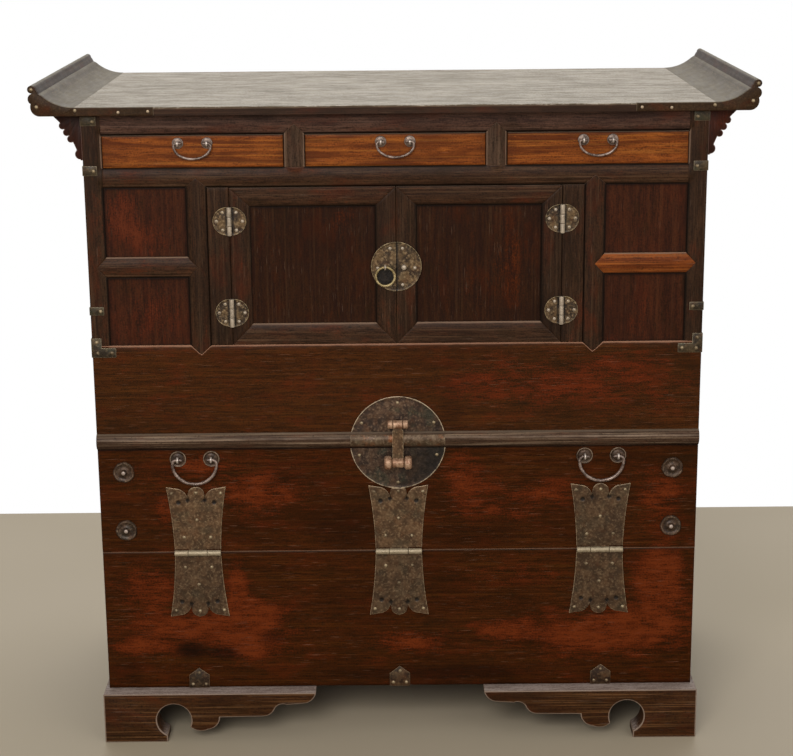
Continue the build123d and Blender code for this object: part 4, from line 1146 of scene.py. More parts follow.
@dataclass
class FrontFrame:
    """Posts, rails, stiles, muntins, dividers, panels and boards of the front."""

    # lit paints highlights along the members' edges, strongest along the front board's top edge; painted shade
    # lies beside the hinge stiles, round the panels, and along the lower board's top and bottom
    rail: Member = Member(width=14.0, depth=3.1, seed=3)
    post: Member = Member(width=13.0, depth=3.0, lit=(0.3, 0.5, 0.6, 0.5), seed=4)
    board: Member = Member(width=9.0, depth=1.8, uneven=0.5, lit=(0.2, 0.3, 1.2, 0.3), lit_width=2.6,
                           seed=5)
    lower: Member = Member(ease=1.4, uneven=0.6, lit=(0.2, 0.5, 0.25, 0.3),
                           darkening=(0.7, 0.0, 0.6, 0.0), shade_width=7.0, seed=13)
    roof: Member = Member(width=15.5, depth=3.6, lit=(0.3, 0.6, 0.9, 0.6), seed=7)
    hinge: Member = Member(ease=0.8, darkening=(0.3, 0.8, 0.3, 0.8), lit=NO_SIDE_PAINT, shade_width=2.0, seed=11)
    panel: Member = Member(ease=0.2, uneven=0.5, lit=NO_SIDE_PAINT, darkening=(0.5, 0.8, 1.0, 0.8), shade_width=6.0,
                           seed=9)

    def build(self) -> None:
        """Make every piece of the front that doesn't move."""
        stile_half = (F.panel_x - F.stile_x) / 2
        stiles = (-F.stile_x - stile_half, F.stile_x + stile_half)
        dividers = (-F.divider_x, F.divider_x)
        ends = (-F.post_x, F.post_x)
        top = self.rail.lying(ends, notched(F.drawer_top, dividers, F.divider_half, F.point),
                              flat(F.body_top), openings=OPENINGS, step=3.0)
        worked("top_rail", top, TOP_RAIL_LIT)
        low = self.rail.lying(ends, notched(F.head, stiles, stile_half, F.point), flat(F.deck),
                              openings=OPENINGS, step=3.0)
        worked("drawer_rail", low, FRAME_X)
        upper = self.board.lying((-F.half, F.half), flat(F.mould),
                                 notched(F.sill, stiles, stile_half, -F.point), openings=OPENINGS)
        worked("front_board", upper, UPPER_BOARD)
        lower = self.lower.board(rectangle(-F.half, F.half, F.base, F.seam - F.gap))
        worked("lower_front_board", lower, BOARD)
        self.uprights()
        self.panels()

    def uprights(self) -> None:
        """Corner posts, inner stiles, hinge stiles, muntins and dividers, on both sides."""
        post = self.post.standing((F.sill, F.body_top),
                                  notched(F.post_x, [F.muntin_z], F.muntin_half, F.point), flat(F.half),
                                  openings=OPENINGS)
        stile = self.rail.standing((F.sill, F.head), flat(F.stile_x),
                                   notched(F.panel_x, [F.muntin_z], F.muntin_half, -F.point),
                                   pointed=(F.point, F.point), openings=OPENINGS)
        hinge = self.hinge.standing((F.sill, F.head), flat(F.door_half), flat(F.stile_x))
        divider = self.rail.standing((F.deck, F.drawer_top), flat(F.divider_x - F.divider_half),
                                     flat(F.divider_x + F.divider_half), pointed=(0.0, F.point),
                                     openings=OPENINGS, step=2.0)
        muntin = self.muntin()
        for name, shape, finish in (("corner_posts", post, FRAME_Z), ("inner_stiles", stile, FRAME_Z),
                                    ("hinge_stiles", hinge, FRAME_Z), ("drawer_dividers", divider, DIVIDER)):
            worked(name, both_hands(shape), finish)
        place("muntin_left", both_hands(muntin)[1], FRAME_X, "carcass", ["side_muntins"])
        place("muntin_right", muntin, BARE, "carcass", ["side_muntins"])

    def muntin(self) -> Shape:
        """Right hand muntin: a low roof with pointed ends."""
        z = stations(F.muntin_z - F.muntin_half, F.muntin_z + F.muntin_half, 1.5)
        tip = F.point * (1 - np.abs(z - F.muntin_z) / F.muntin_half)
        share = stations(0.0, F.post_x - F.panel_x, 3.0) / (F.post_x - F.panel_x)
        x_low, x_high = (F.panel_x - tip)[None], (F.post_x + tip)[None]
        x = x_low + (x_high - x_low) * share[:, None]
        z = np.broadcast_to(z[None], x.shape)
        return self.roof.worked(x, z, (z - z.min(), x_high - x, z.max() - z, x - x_low),
                                openings=OPENINGS)

    def panels(self) -> None:
        """Four panels beside the doors."""
        lower, upper = F.muntin_z - F.muntin_half, F.muntin_z + F.muntin_half
        shapes = []
        for side in (-1, 1):
            low, high = sorted((side * F.panel_x, side * F.post_x))
            for bottom, top in ((F.sill, lower), (upper, F.head)):
                shapes.append(self.panel.board(rectangle(low, high, bottom, top), level=F.y + F.recess,
                                               back=F.panel_back))
        worked("side_panels", shapes, PANEL)


def both_hands(shape: Shape) -> list[Shape]:
    """A shape and its other hand, which is painted for where it is.

    Args:
        shape: The right hand one.

    Returns:
        The right hand one and the left hand one.
    """
    other = shape.mirrored()
    x, z = other.points[:, 0], other.points[:, 2]
    if "bloom" in shape.paint:
        here = np.maximum(shape.paint["grime"] - soiled(-x, z), 0)
        other.paint = {**other.paint, "bloom": bloom(x, z), "grime": np.maximum(here, soiled(x, z))}
    return [shape, other]


# ---- doors, drop front and drawers
@dataclass
class Door:
    """One framed door, worked out on the right and mirrored for the left."""

    side: int
    gap: float = 0.35
    far: float = 241.3
    stile: float = 30.0
    bottom_rail: float = 31.0
    top_rail: float = 28.0
    low: float = 625.7
    high: float = 858.3
    lean: float = 1.5
    # painted highlights along the frame's edges; painted shade round the panel, darkest under its top rail
    member: Member = Member(width=13.0, depth=2.8, ease=0.6, lit=(0.25, 0.3, 0.5, 0.3), seed=17)
    panel: Member = Member(ease=0.2, uneven=0.5, lit=NO_SIDE_PAINT, darkening=(0.4, 0.7, 1.0, 0.7), shade_width=6.0,
                           seed=19)

    def build(self) -> None:
        """Make the mitred frame and the panel."""
        name = "door_right" if self.side > 0 else "door_left"
        x0, x3, z0, z3 = self.gap, self.far, self.low, self.high
        x1, x2, z1, z2 = x0 + self.stile, x3 - self.stile, z0 + self.bottom_rail, z3 - self.top_rail
        opening = [(x1, x2, z1, z2)]
        meeting = self.member.board([(x0, z0), (x1, z1), (x1, z2), (x0, z3)], openings=opening)
        back = meeting.points[:, 1] > F.middle
        meeting.points[back & (meeting.points[:, 0] < x0 + 1), 0] += self.lean
        hung = self.member.board([(x2, z1), (x3, z0), (x3, z3), (x2, z2)], openings=opening)
        rails = [self.member.board([(x0, z0), (x3, z0), (x2, z1), (x1, z1)], openings=opening),
                 self.member.board([(x1, z2), (x2, z2), (x3, z3), (x0, z3)], openings=opening)]
        for rail in rails:
            back = rail.points[:, 1] > F.middle
            rail.points[back & (rail.points[:, 0] < x0 + self.lean), 0] = x0 + self.lean
        panel = self.panel.board(rectangle(x1, x2, z1, z2), level=F.y + F.recess, back=F.panel_back)
        for part, shapes, finish, slot, node in (
                ("_stiles", [meeting, hung], FRAME_Z, "frame_wood", "_frame"),
                ("_rails", rails, FRAME_X, "frame_wood", "_frame"),
                ("_panel_worked", [panel], DOOR_PANEL, "panel_wood", "_panel")):
            made = [both_hands(shape)[0 if self.side > 0 else 1] for shape in shapes]
            place(name + part, made, finish, name, [name + node])


@dataclass
class DropFront:
    """Board of the drop front, whose top edge leans back."""

    low: float = F.seam + F.gap
    high: float = F.mould - 0.6
    back_high: float = 463.0
    # a light line painted along the lower edge at the seam, worn and with a painted highlight, and painted
    # shade along the top under the moulding
    member: Member = Member(ease=0.5, uneven=0.6, lit=(1.0, 0.5, 0.2, 0.3), lit_width=2.2,
                            darkening=(0, 0, 0.9, 0), shade_width=5.0, seed=23)

    def build(self) -> None:
        """Make the board with its leaning top edge."""
        board = self.member.board(rectangle(-F.half, F.half, self.low, self.high))
        z = board.points[:, 2]
        leaning = (board.points[:, 1] > F.middle) & (z > self.back_high)
        board.points[:, 2] = np.where(leaning, self.back_high, z)
        worked("drop_board", board, BOARD, "drop_front")


@dataclass
class Drawer:
    """Front and box of one drawer; painted shade darkens the front towards its ends, within this reach."""

    name: str
    low: float
    high: float
    seed: int
    bottom: float = 888.3
    top: float = 935.2
    thickness: float = 18.0
    painted_dark: float = 0.42
    reach: float = 30.0

    def build(self) -> None:
        """Make the front and soften the box."""
        # painted shade all round the front, in its gap, and light on its lower and side edges, worn and with a
        # painted highlight
        member = Member(ease=2.2, uneven=0.35, lit=(0.3, 0.2, 0.0, 0.2), darkening=(0.7, 0.9, 1.0, 0.9),
                        shade_width=3.6, seed=self.seed)
        front = member.board(rectangle(self.low, self.high, self.bottom, self.top), step=3.0,
                             back=F.y + self.thickness)
        # painted shade towards both ends of the front
        near = np.minimum(front.points[:, 0] - self.low, self.high - front.points[:, 0])
        front.paint["grime"] = np.maximum(front.paint["grime"], self.painted_dark * fade(near, self.reach) ** 1.5)
        worked(self.name + "_front", front, DRAWER, self.name)
        softened(self.name + "_box", 0.8, PLAIN, self.name)


# ---- top, scrolls and moulding
# an eased end, as places in from the end with how far an outline is drawn in there
EASED_END = ((0.0, 1.0), (0.3, 0.45), (1.0, 0.0))


@dataclass
class Top:
    """Top board between two scroll ends."""

    level: float = 979.0
    under: float = 967.0
    front: float = round(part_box("top_board")[0].y / MM, 3)
    back: float = round(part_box("top_board")[1].y / MM, 3)
    root: float = 455.0
    lap_x: float = 342.0
    lap: float = 6.0
    tip: Pair = (513.5, 1005.0)
    tip_r: float = 5.5
    upper: Pair = (511.0, 991.5)
    upper_r: float = 8.0
    lower: Pair = (503.0, 980.0)
    lower_r: float = 13.0
    # how the tread of the scroll is cut in before its tip
    groove: tuple[Pair, ...] = ((0.3, -0.5), (0.9, -1.1), (0.3, -0.5))
    # fall of the rounded front edge, and of the edge behind the lap strips, over this width
    ease: float = 2.4
    lapped_ease: float = 0.3
    rounding: float = 3.0
    uneven: float = 0.35
    wave: float = 140.0
    step: float = 6.0
    hair: float = 0.01
    # nails of a lap strip, from its inner end and its foot
    nails: tuple[Pair, ...] = ((8.0, 6.0), (50.0, 5.0))

    def build(self) -> None:
        """Make the board and the scroll ends."""
        self.board()
        self.scrolls()

    def board(self) -> None:
        """The flat of the top, with a rounded front edge set back behind the lap strips."""
        outer = stations(self.lap_x + self.hair, self.root, self.step)
        x = np.concatenate([-outer[::-1], stations(-self.lap_x, self.lap_x, self.step, edge=0.4), outer])
        front = np.where(np.abs(x) > self.lap_x, self.front + self.lap, self.front)[:, None]
        deep = self.back - self.front
        y = front + (self.back - front) * stations(0.0, deep, self.step, edge=self.rounding)[None] / deep
        x = np.broadcast_to(x[:, None], y.shape)
        rim = np.minimum(y - front, self.back - y)
        open_edge = np.abs(x) <= self.lap_x
        fall = np.where(open_edge, self.ease, self.lapped_ease) * fade(rim, self.rounding) ** 2
        level = self.level - fall - self.uneven * (1 + wander(x, y, 31, self.wave)) / 2
        # the open front edge is painted lighter along its rounding, worn and with a painted highlight
        rub = 0.8 * fade(rim, self.rounding + 0.5) * open_edge
        worked("top_board", slab(x, y, level, self.under, Facing.TOP, {"rub": rub}), TOP)

    def outline(self) -> Array:
        """Section of the right hand scroll as (z, x), from its root over the tip and back underneath."""
        lift = (self.tip[0] - self.tip_r, self.tip[1])
        run, rise = lift[0] - self.root, lift[1] - self.level
        bend = (run ** 2 + rise ** 2) / (2 * rise)
        angle = np.linspace(0, math.asin(run / bend), 26)
        curve = np.stack([self.root + bend * np.sin(angle), self.level + bend * (1 - np.cos(angle))], 1)
        curve[-5:-2] += self.groove
        circles = ((self.tip, self.tip_r), (self.upper, self.upper_r), (self.lower, self.lower_r))
        joints = list(itertools.pairwise(circles))
        starts = [180, *(self.meeting(*here, *above, -1) for above, here in joints)]
        ends = [*(self.meeting(*here, *below, 1) for here, below in joints), -90]
        arcs = [self.arc(*circle, start, end) for circle, start, end in zip(circles, starts, ends)]
        under = np.array([[self.root + 20, self.under], [self.root, self.under], [self.root, self.level]])
        return np.vstack([curve[1:-1], *arcs, under])[:, ::-1]

    @staticmethod
    def meeting(here: Pair, radius: float, other: Pair, other_r: float, turn: int) -> float:
        """Angle in degrees, seen from here, at which two circles meet, to the left (1) or right (-1).

        Args:
            here: Middle of the first circle.
            radius: Its radius.
            other: Middle of the second.
            other_r: Its radius.
            turn: 1 or -1.

        Returns:
            The angle.
        """
        away = np.subtract(other, here)
        distance = math.hypot(*away)
        share = (radius ** 2 + distance ** 2 - other_r ** 2) / (2 * radius * distance)
        return math.degrees(math.atan2(away[1], away[0]) + turn * math.acos(min(share, 1.0)))

    @staticmethod
    def arc(centre: Pair, radius: float, start: float, end: float) -> Array:
        """Points of an arc that runs clockwise from start to end degrees.

        Args:
            centre: Middle of the circle.
            radius: Its radius.
            start: First angle.
            end: Last angle.

        Returns:
            One point in each row.
        """
        while end > start:
            end -= 360
        angle = np.radians(np.linspace(start, end, 14))
        return np.stack([centre[0] + radius * np.cos(angle), centre[1] + radius * np.sin(angle)], 1)

    def scrolls(self) -> None:
        """Both scroll ends with the strips that lap the front edge."""
        inner = np.linspace(self.front + 12, self.back - 12, 20)
        scroll = swept(self.outline(), [*((self.front + at, draw) for at, draw in EASED_END),
                                        *((y, 0.0) for y in inner),
                                        *((self.back - at, draw) for at, draw in EASED_END[::-1])], 1)
        x, z = np.meshgrid(stations(self.lap_x, self.root, STEP), stations(self.under, self.level, 2.0),
                           indexing="ij")
        sides = (z - self.under, self.root - x + 9, self.level - z, x - self.lap_x)
        # lit paints highlights along the lap strip's edges, strongest at its inner end and its top
        lap = Member(ease=0.8, uneven=0.4, lit=(0.3, 0, 0.8, 1.0), seed=37).worked(
            x, z, sides, level=self.front, back=self.front + self.lap)
        worked("top_scroll_ends", [scroll, scroll.mirrored(), lap, lap.mirrored()], SCROLL)
        heads = studs([(side * (self.lap_x + at), self.under + up) for side in (-1, 1)
                       for at, up in self.nails], self.front + 0.2, radius=2.2, height=0.9)
        place("lap_strip_nails", heads, NAIL, "carcass")


@dataclass
class Moulding:
    """Half round moulding over the seam above the drop front."""

    low: float = F.mould
    high: float = F.mould_top
    proud: float = 9.0
    ease: float = 0.8
    # two reeds: how deep, at what angle off the middle, and how wide an angle
    reed: Three = (0.45, 0.62, 0.09)

    def build(self) -> None:
        """Carry the reeded half round along the front, with painted shade on its lower part and a painted
        highlight a little above its middle.
        """
        middle, half = (self.low + self.high) / 2, (self.high - self.low) / 2
        angle = np.linspace(-math.pi / 2, math.pi / 2, 33)
        deep, at, wide = self.reed
        reed = deep * np.exp(-((np.abs(angle) - at) / wide) ** 2)
        rise = np.sin(angle)
        outline = np.stack([F.y - (self.proud - reed) * np.cos(angle) ** 0.9, middle + half * rise], 1)
        # painted shade below the middle, and a band of painted highlight above it
        paint = {"grime": 0.8 * np.clip(-rise - 0.2, 0, 1), "rub": 0.7 * np.exp(-((rise - 0.35) / 0.25) ** 2)}
        ends = [(-F.half, self.ease), (-F.half + self.ease, 0.0),
                *((x, 0.0) for x in np.linspace(-440, 440, 23)),
                (F.half - self.ease, 0.0), (F.half, self.ease)]
        worked("mid_moulding", swept(outline, ends, 0, paint), MOULDING)


# ---- ironwork
# how bright hands keep the hasp and its eyes
HANDLED = 0.6
# size of a hammer mark on a plate, in millimetres
HAMMER_MARK = 14.0


def plate(x: Array, low: Array, high: Array, centre: Pair, radius: float,
          thickness: float, seed: int, rim: float = 2.6) -> Shape:
    """Part of a round plate: columns at x from low to high, with a raised rim round its circle.

    The face lies back between the rim and a slightly domed middle, and is hammered uneven.

    Args:
        x: Places of the columns.
        low: Lower end of each column.
        high: Upper end of each column.
        centre: Middle of the circle as (x, z).
        radius: Radius of the circle.
        thickness: Thickness at the rim.
        seed: Seed of the hammer marks.
        rim: Width of the rim.

    Returns:
        The closed plate.
    """
    tall, sunk, domed, dent = 40.0, 0.35, 0.2, 0.22
    z = low[:, None] + (high - low)[:, None] * stations(0.0, tall, 1.6)[None] / tall
    x = np.broadcast_to(x[:, None], z.shape)
    reach = np.hypot(x - centre[0], z - centre[1])
    inside = np.clip((radius - reach) / rim, 0, 1)
    dished = thickness * (sunk * inside - domed * np.cos(reach / radius * math.pi / 2) * inside)
    dents = dent * (1 + wander(x, z, seed, HAMMER_MARK)) * inside
    edge = 0.5 * np.clip(1 - inside * 2.5, 0, 1) ** 2
    # the rim is painted lighter, worn and with a painted highlight
    return slab(x, z, F.y - thickness + (dished + dents + edge), F.y,
                paint={"rub": np.clip(1.3 * (1 - inside), 0, 0.9)})


def half_disc(x: float, z: float, radius: float, thickness: float, seed: int, side: int = 1) -> Shape:
    """Half of a round plate, to the right of x (side 1) or to the left of it (side -1).

    Args:
        x: Its straight edge.
        z: Height of its middle.
        radius: Radius of the plate.
        thickness: Thickness at the rim.
        seed: Seed of the hammer marks.
        side: 1 or -1.

    Returns:
        The closed half, with painted shade along its straight edge in the gap beside the knuckle.
    """
    places = x + side * radius * np.sin(np.linspace(0.0, math.pi / 2 - 0.02, 34))[::side]
    arch = np.sqrt(radius ** 2 - (places - x) ** 2)
    made = plate(places, z - arch, z + arch, (x, z), radius, thickness, seed, rim=1.8)
    # painted shade along the straight edge, beside the knuckle; the rim lighter, worn and with a painted
    # highlight
    made.paint["grime"] = np.clip(1.1 - np.abs(made.points[:, 0] - x) / 4.0, 0, 1)
    made.paint["rub"] = 0.85 * made.paint["rub"]
    return made


def barrel(low: float, high: float, across: Pair, radius: float, shoulder: float,
           axis: int = 0, polish: float = 1.0) -> Shape:
    """A forged barrel with rounded shoulders and slightly hollow flanks.

    Args:
        low: Start along the axis.
        high: End along the axis.
        across: The axis's place, as (y, z) along X or (x, y) along Z.
        radius: Radius at the shoulders.
        shoulder: Radius of the rounding at both ends.
        axis: 0 for X, 2 for Z.
        polish: How bright hands keep it.

    Returns:
        The closed barrel.
    """
    turn = np.linspace(0, math.pi / 2, 6)
    rise = [(radius - shoulder + shoulder * math.sin(t), low + shoulder * (1 - math.cos(t))) for t in turn]
    fall = [(r, high - (at - low)) for r, at in rise[::-1]]
    waist = (radius * 0.95, (low + high) / 2)
    centre = (0.0, *across) if axis == 0 else (*across, 0.0)
    return turned([(0.0, low), *rise, waist, *fall, (0.0, high)], axis, centre, sides=32).polished(polish)


def studs(places: Iterable[Pair], level: float, radius: float = 2.6,
          height: float = 1.6) -> list[Shape]:
    """Domed nail heads on a plate: a quarter ellipse turned about each (x, z)."""
    turn = np.linspace(0, math.pi / 2, 6)
    profile = [(radius * math.sin(t), -height * math.cos(t)) for t in turn]
    return [turned([*profile, (0.0, 0.0)], 1, (x, level, z), sides=18).polished() for x, z in places]


@dataclass
class StrapHinge:
    """One strap hinge of the drop front: two leaves with horns and a lobe, and their knuckles."""

    x: float
    pin: Pair = (F.y - 4.9, F.seam)
    near: float = 4.9
    length: float = 104.0
    half: float = 35.0
    tip: float = 45.0
    middle: float = 14.6
    lobe: float = 13.0
    notch: Pair = (13.4, 82.0)
    knee: Pair = (31.0, 101.5)
    # holes as (away from the middle, away from the pin, radius), one on each side
    holes: tuple[Three, ...] = ((12.8, 83.0, 2.8), (27.0, 79.5, 3.2))
    # a dark line painted round the lobe as the shade of a groove, which isn't cut: its width, and how far from
    # the middle and the pin it begins
    groove: Three = (1.3, 5.0, 80.0)
    # how much darker the whole leaf is painted, and how dark every lower leaf is painted at least
    darkening: float = 0.0
    lower_darkening: float = 0.38
    thickness: float = 1.6
    radius: float = 4.5
    shoulder: float = 0.9
    gap: float = 0.4
    dent: float = 11.0

    def end(self, x: Array) -> Array:
        """Far edge over x: the lobe's circle, or the horn, a quarter ellipse and then a line to its tip.

        Args:
            x: Places from the hinge's middle.

        Returns:
            Distance from the pin to the edge at each place.
        """
        across = np.abs(x)
        (notch_x, notch_z), (knee_x, knee_z) = self.notch, self.knee
        share = np.clip((knee_x - across) / (knee_x - notch_x), 0, 1)
        tip = (self.length - knee_z) * np.clip((across - knee_x) / (self.tip - knee_x), 0, 1)
        horn = notch_z + (knee_z - notch_z) * np.sqrt(1 - share ** 2) + tip
        round_end = self.length - self.lobe + np.sqrt(np.clip(self.lobe ** 2 - across ** 2, 0, None))
        return np.where(across < self.lobe, round_end, horn)

    def leaf(self, way: int, clear: Outline | None = None) -> Shape:
        """One leaf, from its knuckle up (way 1) or down (way -1).

        Columns stand closer together at both sides. The waist widens faster the further out it is.

        Args:
            way: 1 or -1.
            clear: Highest z that the leaf may reach over x, where something lies above it.

        Returns:
            The leaf, with its holes sunk and painted black as their shade, and its edges painted lighter, worn
            and with a painted highlight.
        """
        share = np.concatenate([np.linspace(-1, -0.9, 7), np.linspace(-0.88, 0.88, 72),
                                np.linspace(0.9, 1, 7)])
        top = self.end(share * self.tip)
        if clear is not None:
            top = np.minimum(top, clear(share * self.tip + self.x) - self.pin[1])
        along = stations(0.0, self.length, 1.4, edge=1.2) / self.length
        away = self.near + (top[:, None] - self.near) * along[None]
        rise = (away - self.near) / (self.length - self.near)
        wide = self.half + (self.tip - self.half) * (0.75 * rise ** 2 + 0.25 * rise)
        x = share[:, None] * wide
        rim = np.minimum(wide - np.abs(x), top[:, None] - away)
        hole = np.min([np.hypot(np.abs(x) - at, away - up) / r for at, up, r in self.holes], axis=0)
        sink = np.clip(np.clip(1.25 - hole, 0, 1) * 2, 0, 1)
        dents = 0.12 * (1 + wander(x, away, 51 + way, self.dent)) * np.clip(rim / 3, 0, 1)
        out = F.y - self.thickness + (0.45 * fade(rim, 1.6) ** 2 + 0.9 * sink + dents)
        # edges painted lighter, worn and with a painted highlight; holes and groove painted black as their
        # shade
        paint = {"rub": fade(rim, 1.9), "grime": self.painted_dark(x, away, hole, way)}
        order = slice(None, None, way)
        return slab(x[:, order] + self.x, self.pin[1] + way * away[:, order], out[:, order], F.y,
                    paint={name: value[:, order] for name, value in paint.items()})

    def painted_dark(self, x: Array, away: Array, hole: Array, way: int) -> Array:
        """Black painted in the holes and round the lobe as their shade, over how much darker the whole leaf is
        painted.

        Args:
            x: Places across.
            away: Distance from the pin.
            hole: Reach from a hole, in its radius.
            way: 1 for the upper leaf, -1 for the lower.

        Returns:
            How dirty each point is.
        """
        ring = np.abs(np.hypot(x, away - self.length + self.lobe) - self.lobe)
        wide, from_x, from_pin = self.groove
        groove = fade(ring, wide) * (np.abs(x) > from_x) * (away > from_pin)
        # painted shade of the holes and the groove, and the leaf's even darkening
        darkened = max(self.darkening, self.lower_darkening if way < 0 else 0.0)
        return np.maximum.reduce([np.clip(2.3 - 1.6 * hole, 0, 1), 0.9 * groove, np.full(x.shape, darkened)])

    def knuckle(self, low: float, high: float, way: int) -> list[Shape]:
        """A barrel from low to high beside the hinge's middle, and the flat tab to its leaf.

        Args:
            low: Start, from the hinge's middle.
            high: End.
            way: 1 for the upper leaf, -1 for the lower.

        Returns:
            The barrel and the tab.
        """
        ends = sorted((self.pin[1], self.pin[1] + way * (self.near + 0.5)))
        span = (self.x + low, self.x + high)
        return [barrel(*span, self.pin, self.radius, self.shoulder),
                TAB.board(rectangle(*span, *ends), level=F.y - self.thickness, back=F.y)]

    def lower(self) -> list[Shape]:
        """Leaf and two outer knuckles on the lower board."""
        return [self.leaf(-1), *self.knuckle(-self.half, -self.middle, -1),
                *self.knuckle(self.middle, self.half, -1)]

    def upper(self, clear: Outline | None) -> list[Shape]:
        """Leaf and middle knuckle on the drop front."""
        return [self.leaf(1, clear), *self.knuckle(-self.middle + self.gap, self.middle - self.gap, 1)]


@dataclass(frozen=True)
class Lug:
    """One of two eyes on roots that hold the hasp, by the sizes of the right hand one."""

    axis: Pair
    span: Pair
    radius: float
    shoulder: float
    root: Pair
    root_half: float

    def pair(self) -> list[Shape]:
        """Both barrels and both roots."""
        y, z = self.axis
        eye = barrel(*self.span, self.axis, self.radius, self.shoulder, polish=HANDLED)
        # the root's edges are painted lighter, worn and with a painted highlight
        root = Member(ease=0.6, uneven=0.1, seed=43).lying(
            self.root, flat(z - self.root_half), flat(z + self.root_half), level=y, back=F.y - 1.0, step=2.0)
        return [eye, eye.mirrored(), root, root.mirrored()]


@dataclass
class LockPlate:
    """Round lock plate in two halves over the moulding, its eyes, and the hasp."""

    z: float = F.mould + 7.0
    radius: float = 71.5
    thickness: float = 2.0
    below: float = 1.2
    pivot: Pair = (F.y - 13.0, F.seam + 143.0)
    catch: Pair = (F.y - 11.5, F.seam + 202.0)
    # bright spots as (amount, x and z from the middle, spread squared)
    bright: tuple[tuple[float, ...], ...] = ((0.62, -34.0, 36.0, 700.0), (0.5, -2.0, -34.0, 250.0))
    # the hasp's two barrels, each by half its length, its radius and its shoulder
    pivot_eye: Three = (9.0, 7.5, 2.4)
    catch_eye: Three = (7.0, 6.5, 1.2)
    strap_half: float = 8.0
    neck_half: float = 6.6
    neck: float = 8.0
    crown: float = 1.5

    def half_plate(self, upper: bool) -> Shape:
        """One half of the plate, cut off along the moulding.

        Args:
            upper: Whether it is the upper half.

        Returns:
            The closed half, with its bright spots, and painted darker towards the right and on its lower half.
        """
        line = F.mould_top if upper else F.mould - self.below
        reach = math.sqrt(self.radius ** 2 - (line - self.z) ** 2) - 0.02
        x = reach * np.sin(np.linspace(-math.pi / 2, math.pi / 2, 90))
        arch, cut = np.sqrt(self.radius ** 2 - x ** 2), np.full_like(x, line)
        low, high = (cut, self.z + arch) if upper else (self.z - arch, cut)
        made = plate(x, low, high, (0.0, self.z), self.radius, self.thickness, 41 + upper)
        away_x, away_z = made.points[:, 0], made.points[:, 2] - self.z
        made.paint["polish"] = sum(amount * np.exp(-np.hypot(away_x - at_x, away_z - at_z) ** 2 / spread)
                                   for amount, at_x, at_z, spread in self.bright)
        # darker towards the right and on the lower half
        made.paint["grime"] = 0.45 * np.clip(away_x / 45, 0, 1) + 0.42 * (away_z < 0)
        return made

    def build(self) -> None:
        """Make both halves, the eyes, the sleeve and the hasp."""
        worked("lock_plate_upper", self.half_plate(True), LOCK)
        worked("lock_plate_lower", self.half_plate(False), LOCK, "drop_front")
        eyes = Lug(self.catch, span=(7.4, 15.4), radius=6.5, shoulder=2.2, root=(7.8, 15.0), root_half=3.2)
        place("catch_eyes", eyes.pair(), HASP, "carcass")
        lugs = Lug(self.pivot, span=(9.4, 20.9), radius=10.5, shoulder=4.2, root=(10.5, 19.8), root_half=5.0)
        place("hasp_lugs", lugs.pair(), HASP, "drop_front")
        softened("moulding_sleeve", 0.4, SLEEVE)
        ends = [barrel(-half, half, axis, radius, shoulder, polish=HANDLED) for axis, (half, radius, shoulder)
                in ((self.pivot, self.pivot_eye), (self.catch, self.catch_eye))]
        worked("hasp", ends, HASP, "hasp")
        place("hasp_strap", self.strap(), STRAP, "hasp")

    def strap(self) -> Shape:
        """The crowned strap between the hasp's two barrels, narrower at its neck."""
        (pivot_y, pivot_z), (catch_y, catch_z) = self.pivot, self.catch
        z = np.linspace(pivot_z, catch_z, 24)
        lean = pivot_y + (catch_y - pivot_y) * (z - pivot_z) / (catch_z - pivot_z)
        share = np.linspace(-1, 1, 12)[:, None]
        x = share * np.where(z > catch_z - self.neck, self.neck_half, self.strap_half)
        # the long edges are painted lighter, worn and with a painted highlight
        return slab(x, np.broadcast_to(z, x.shape), lean - self.crown * (1 - 0.35 * share ** 4),
                    pivot_y + 1.3, paint={"rub": np.abs(share) ** 12})


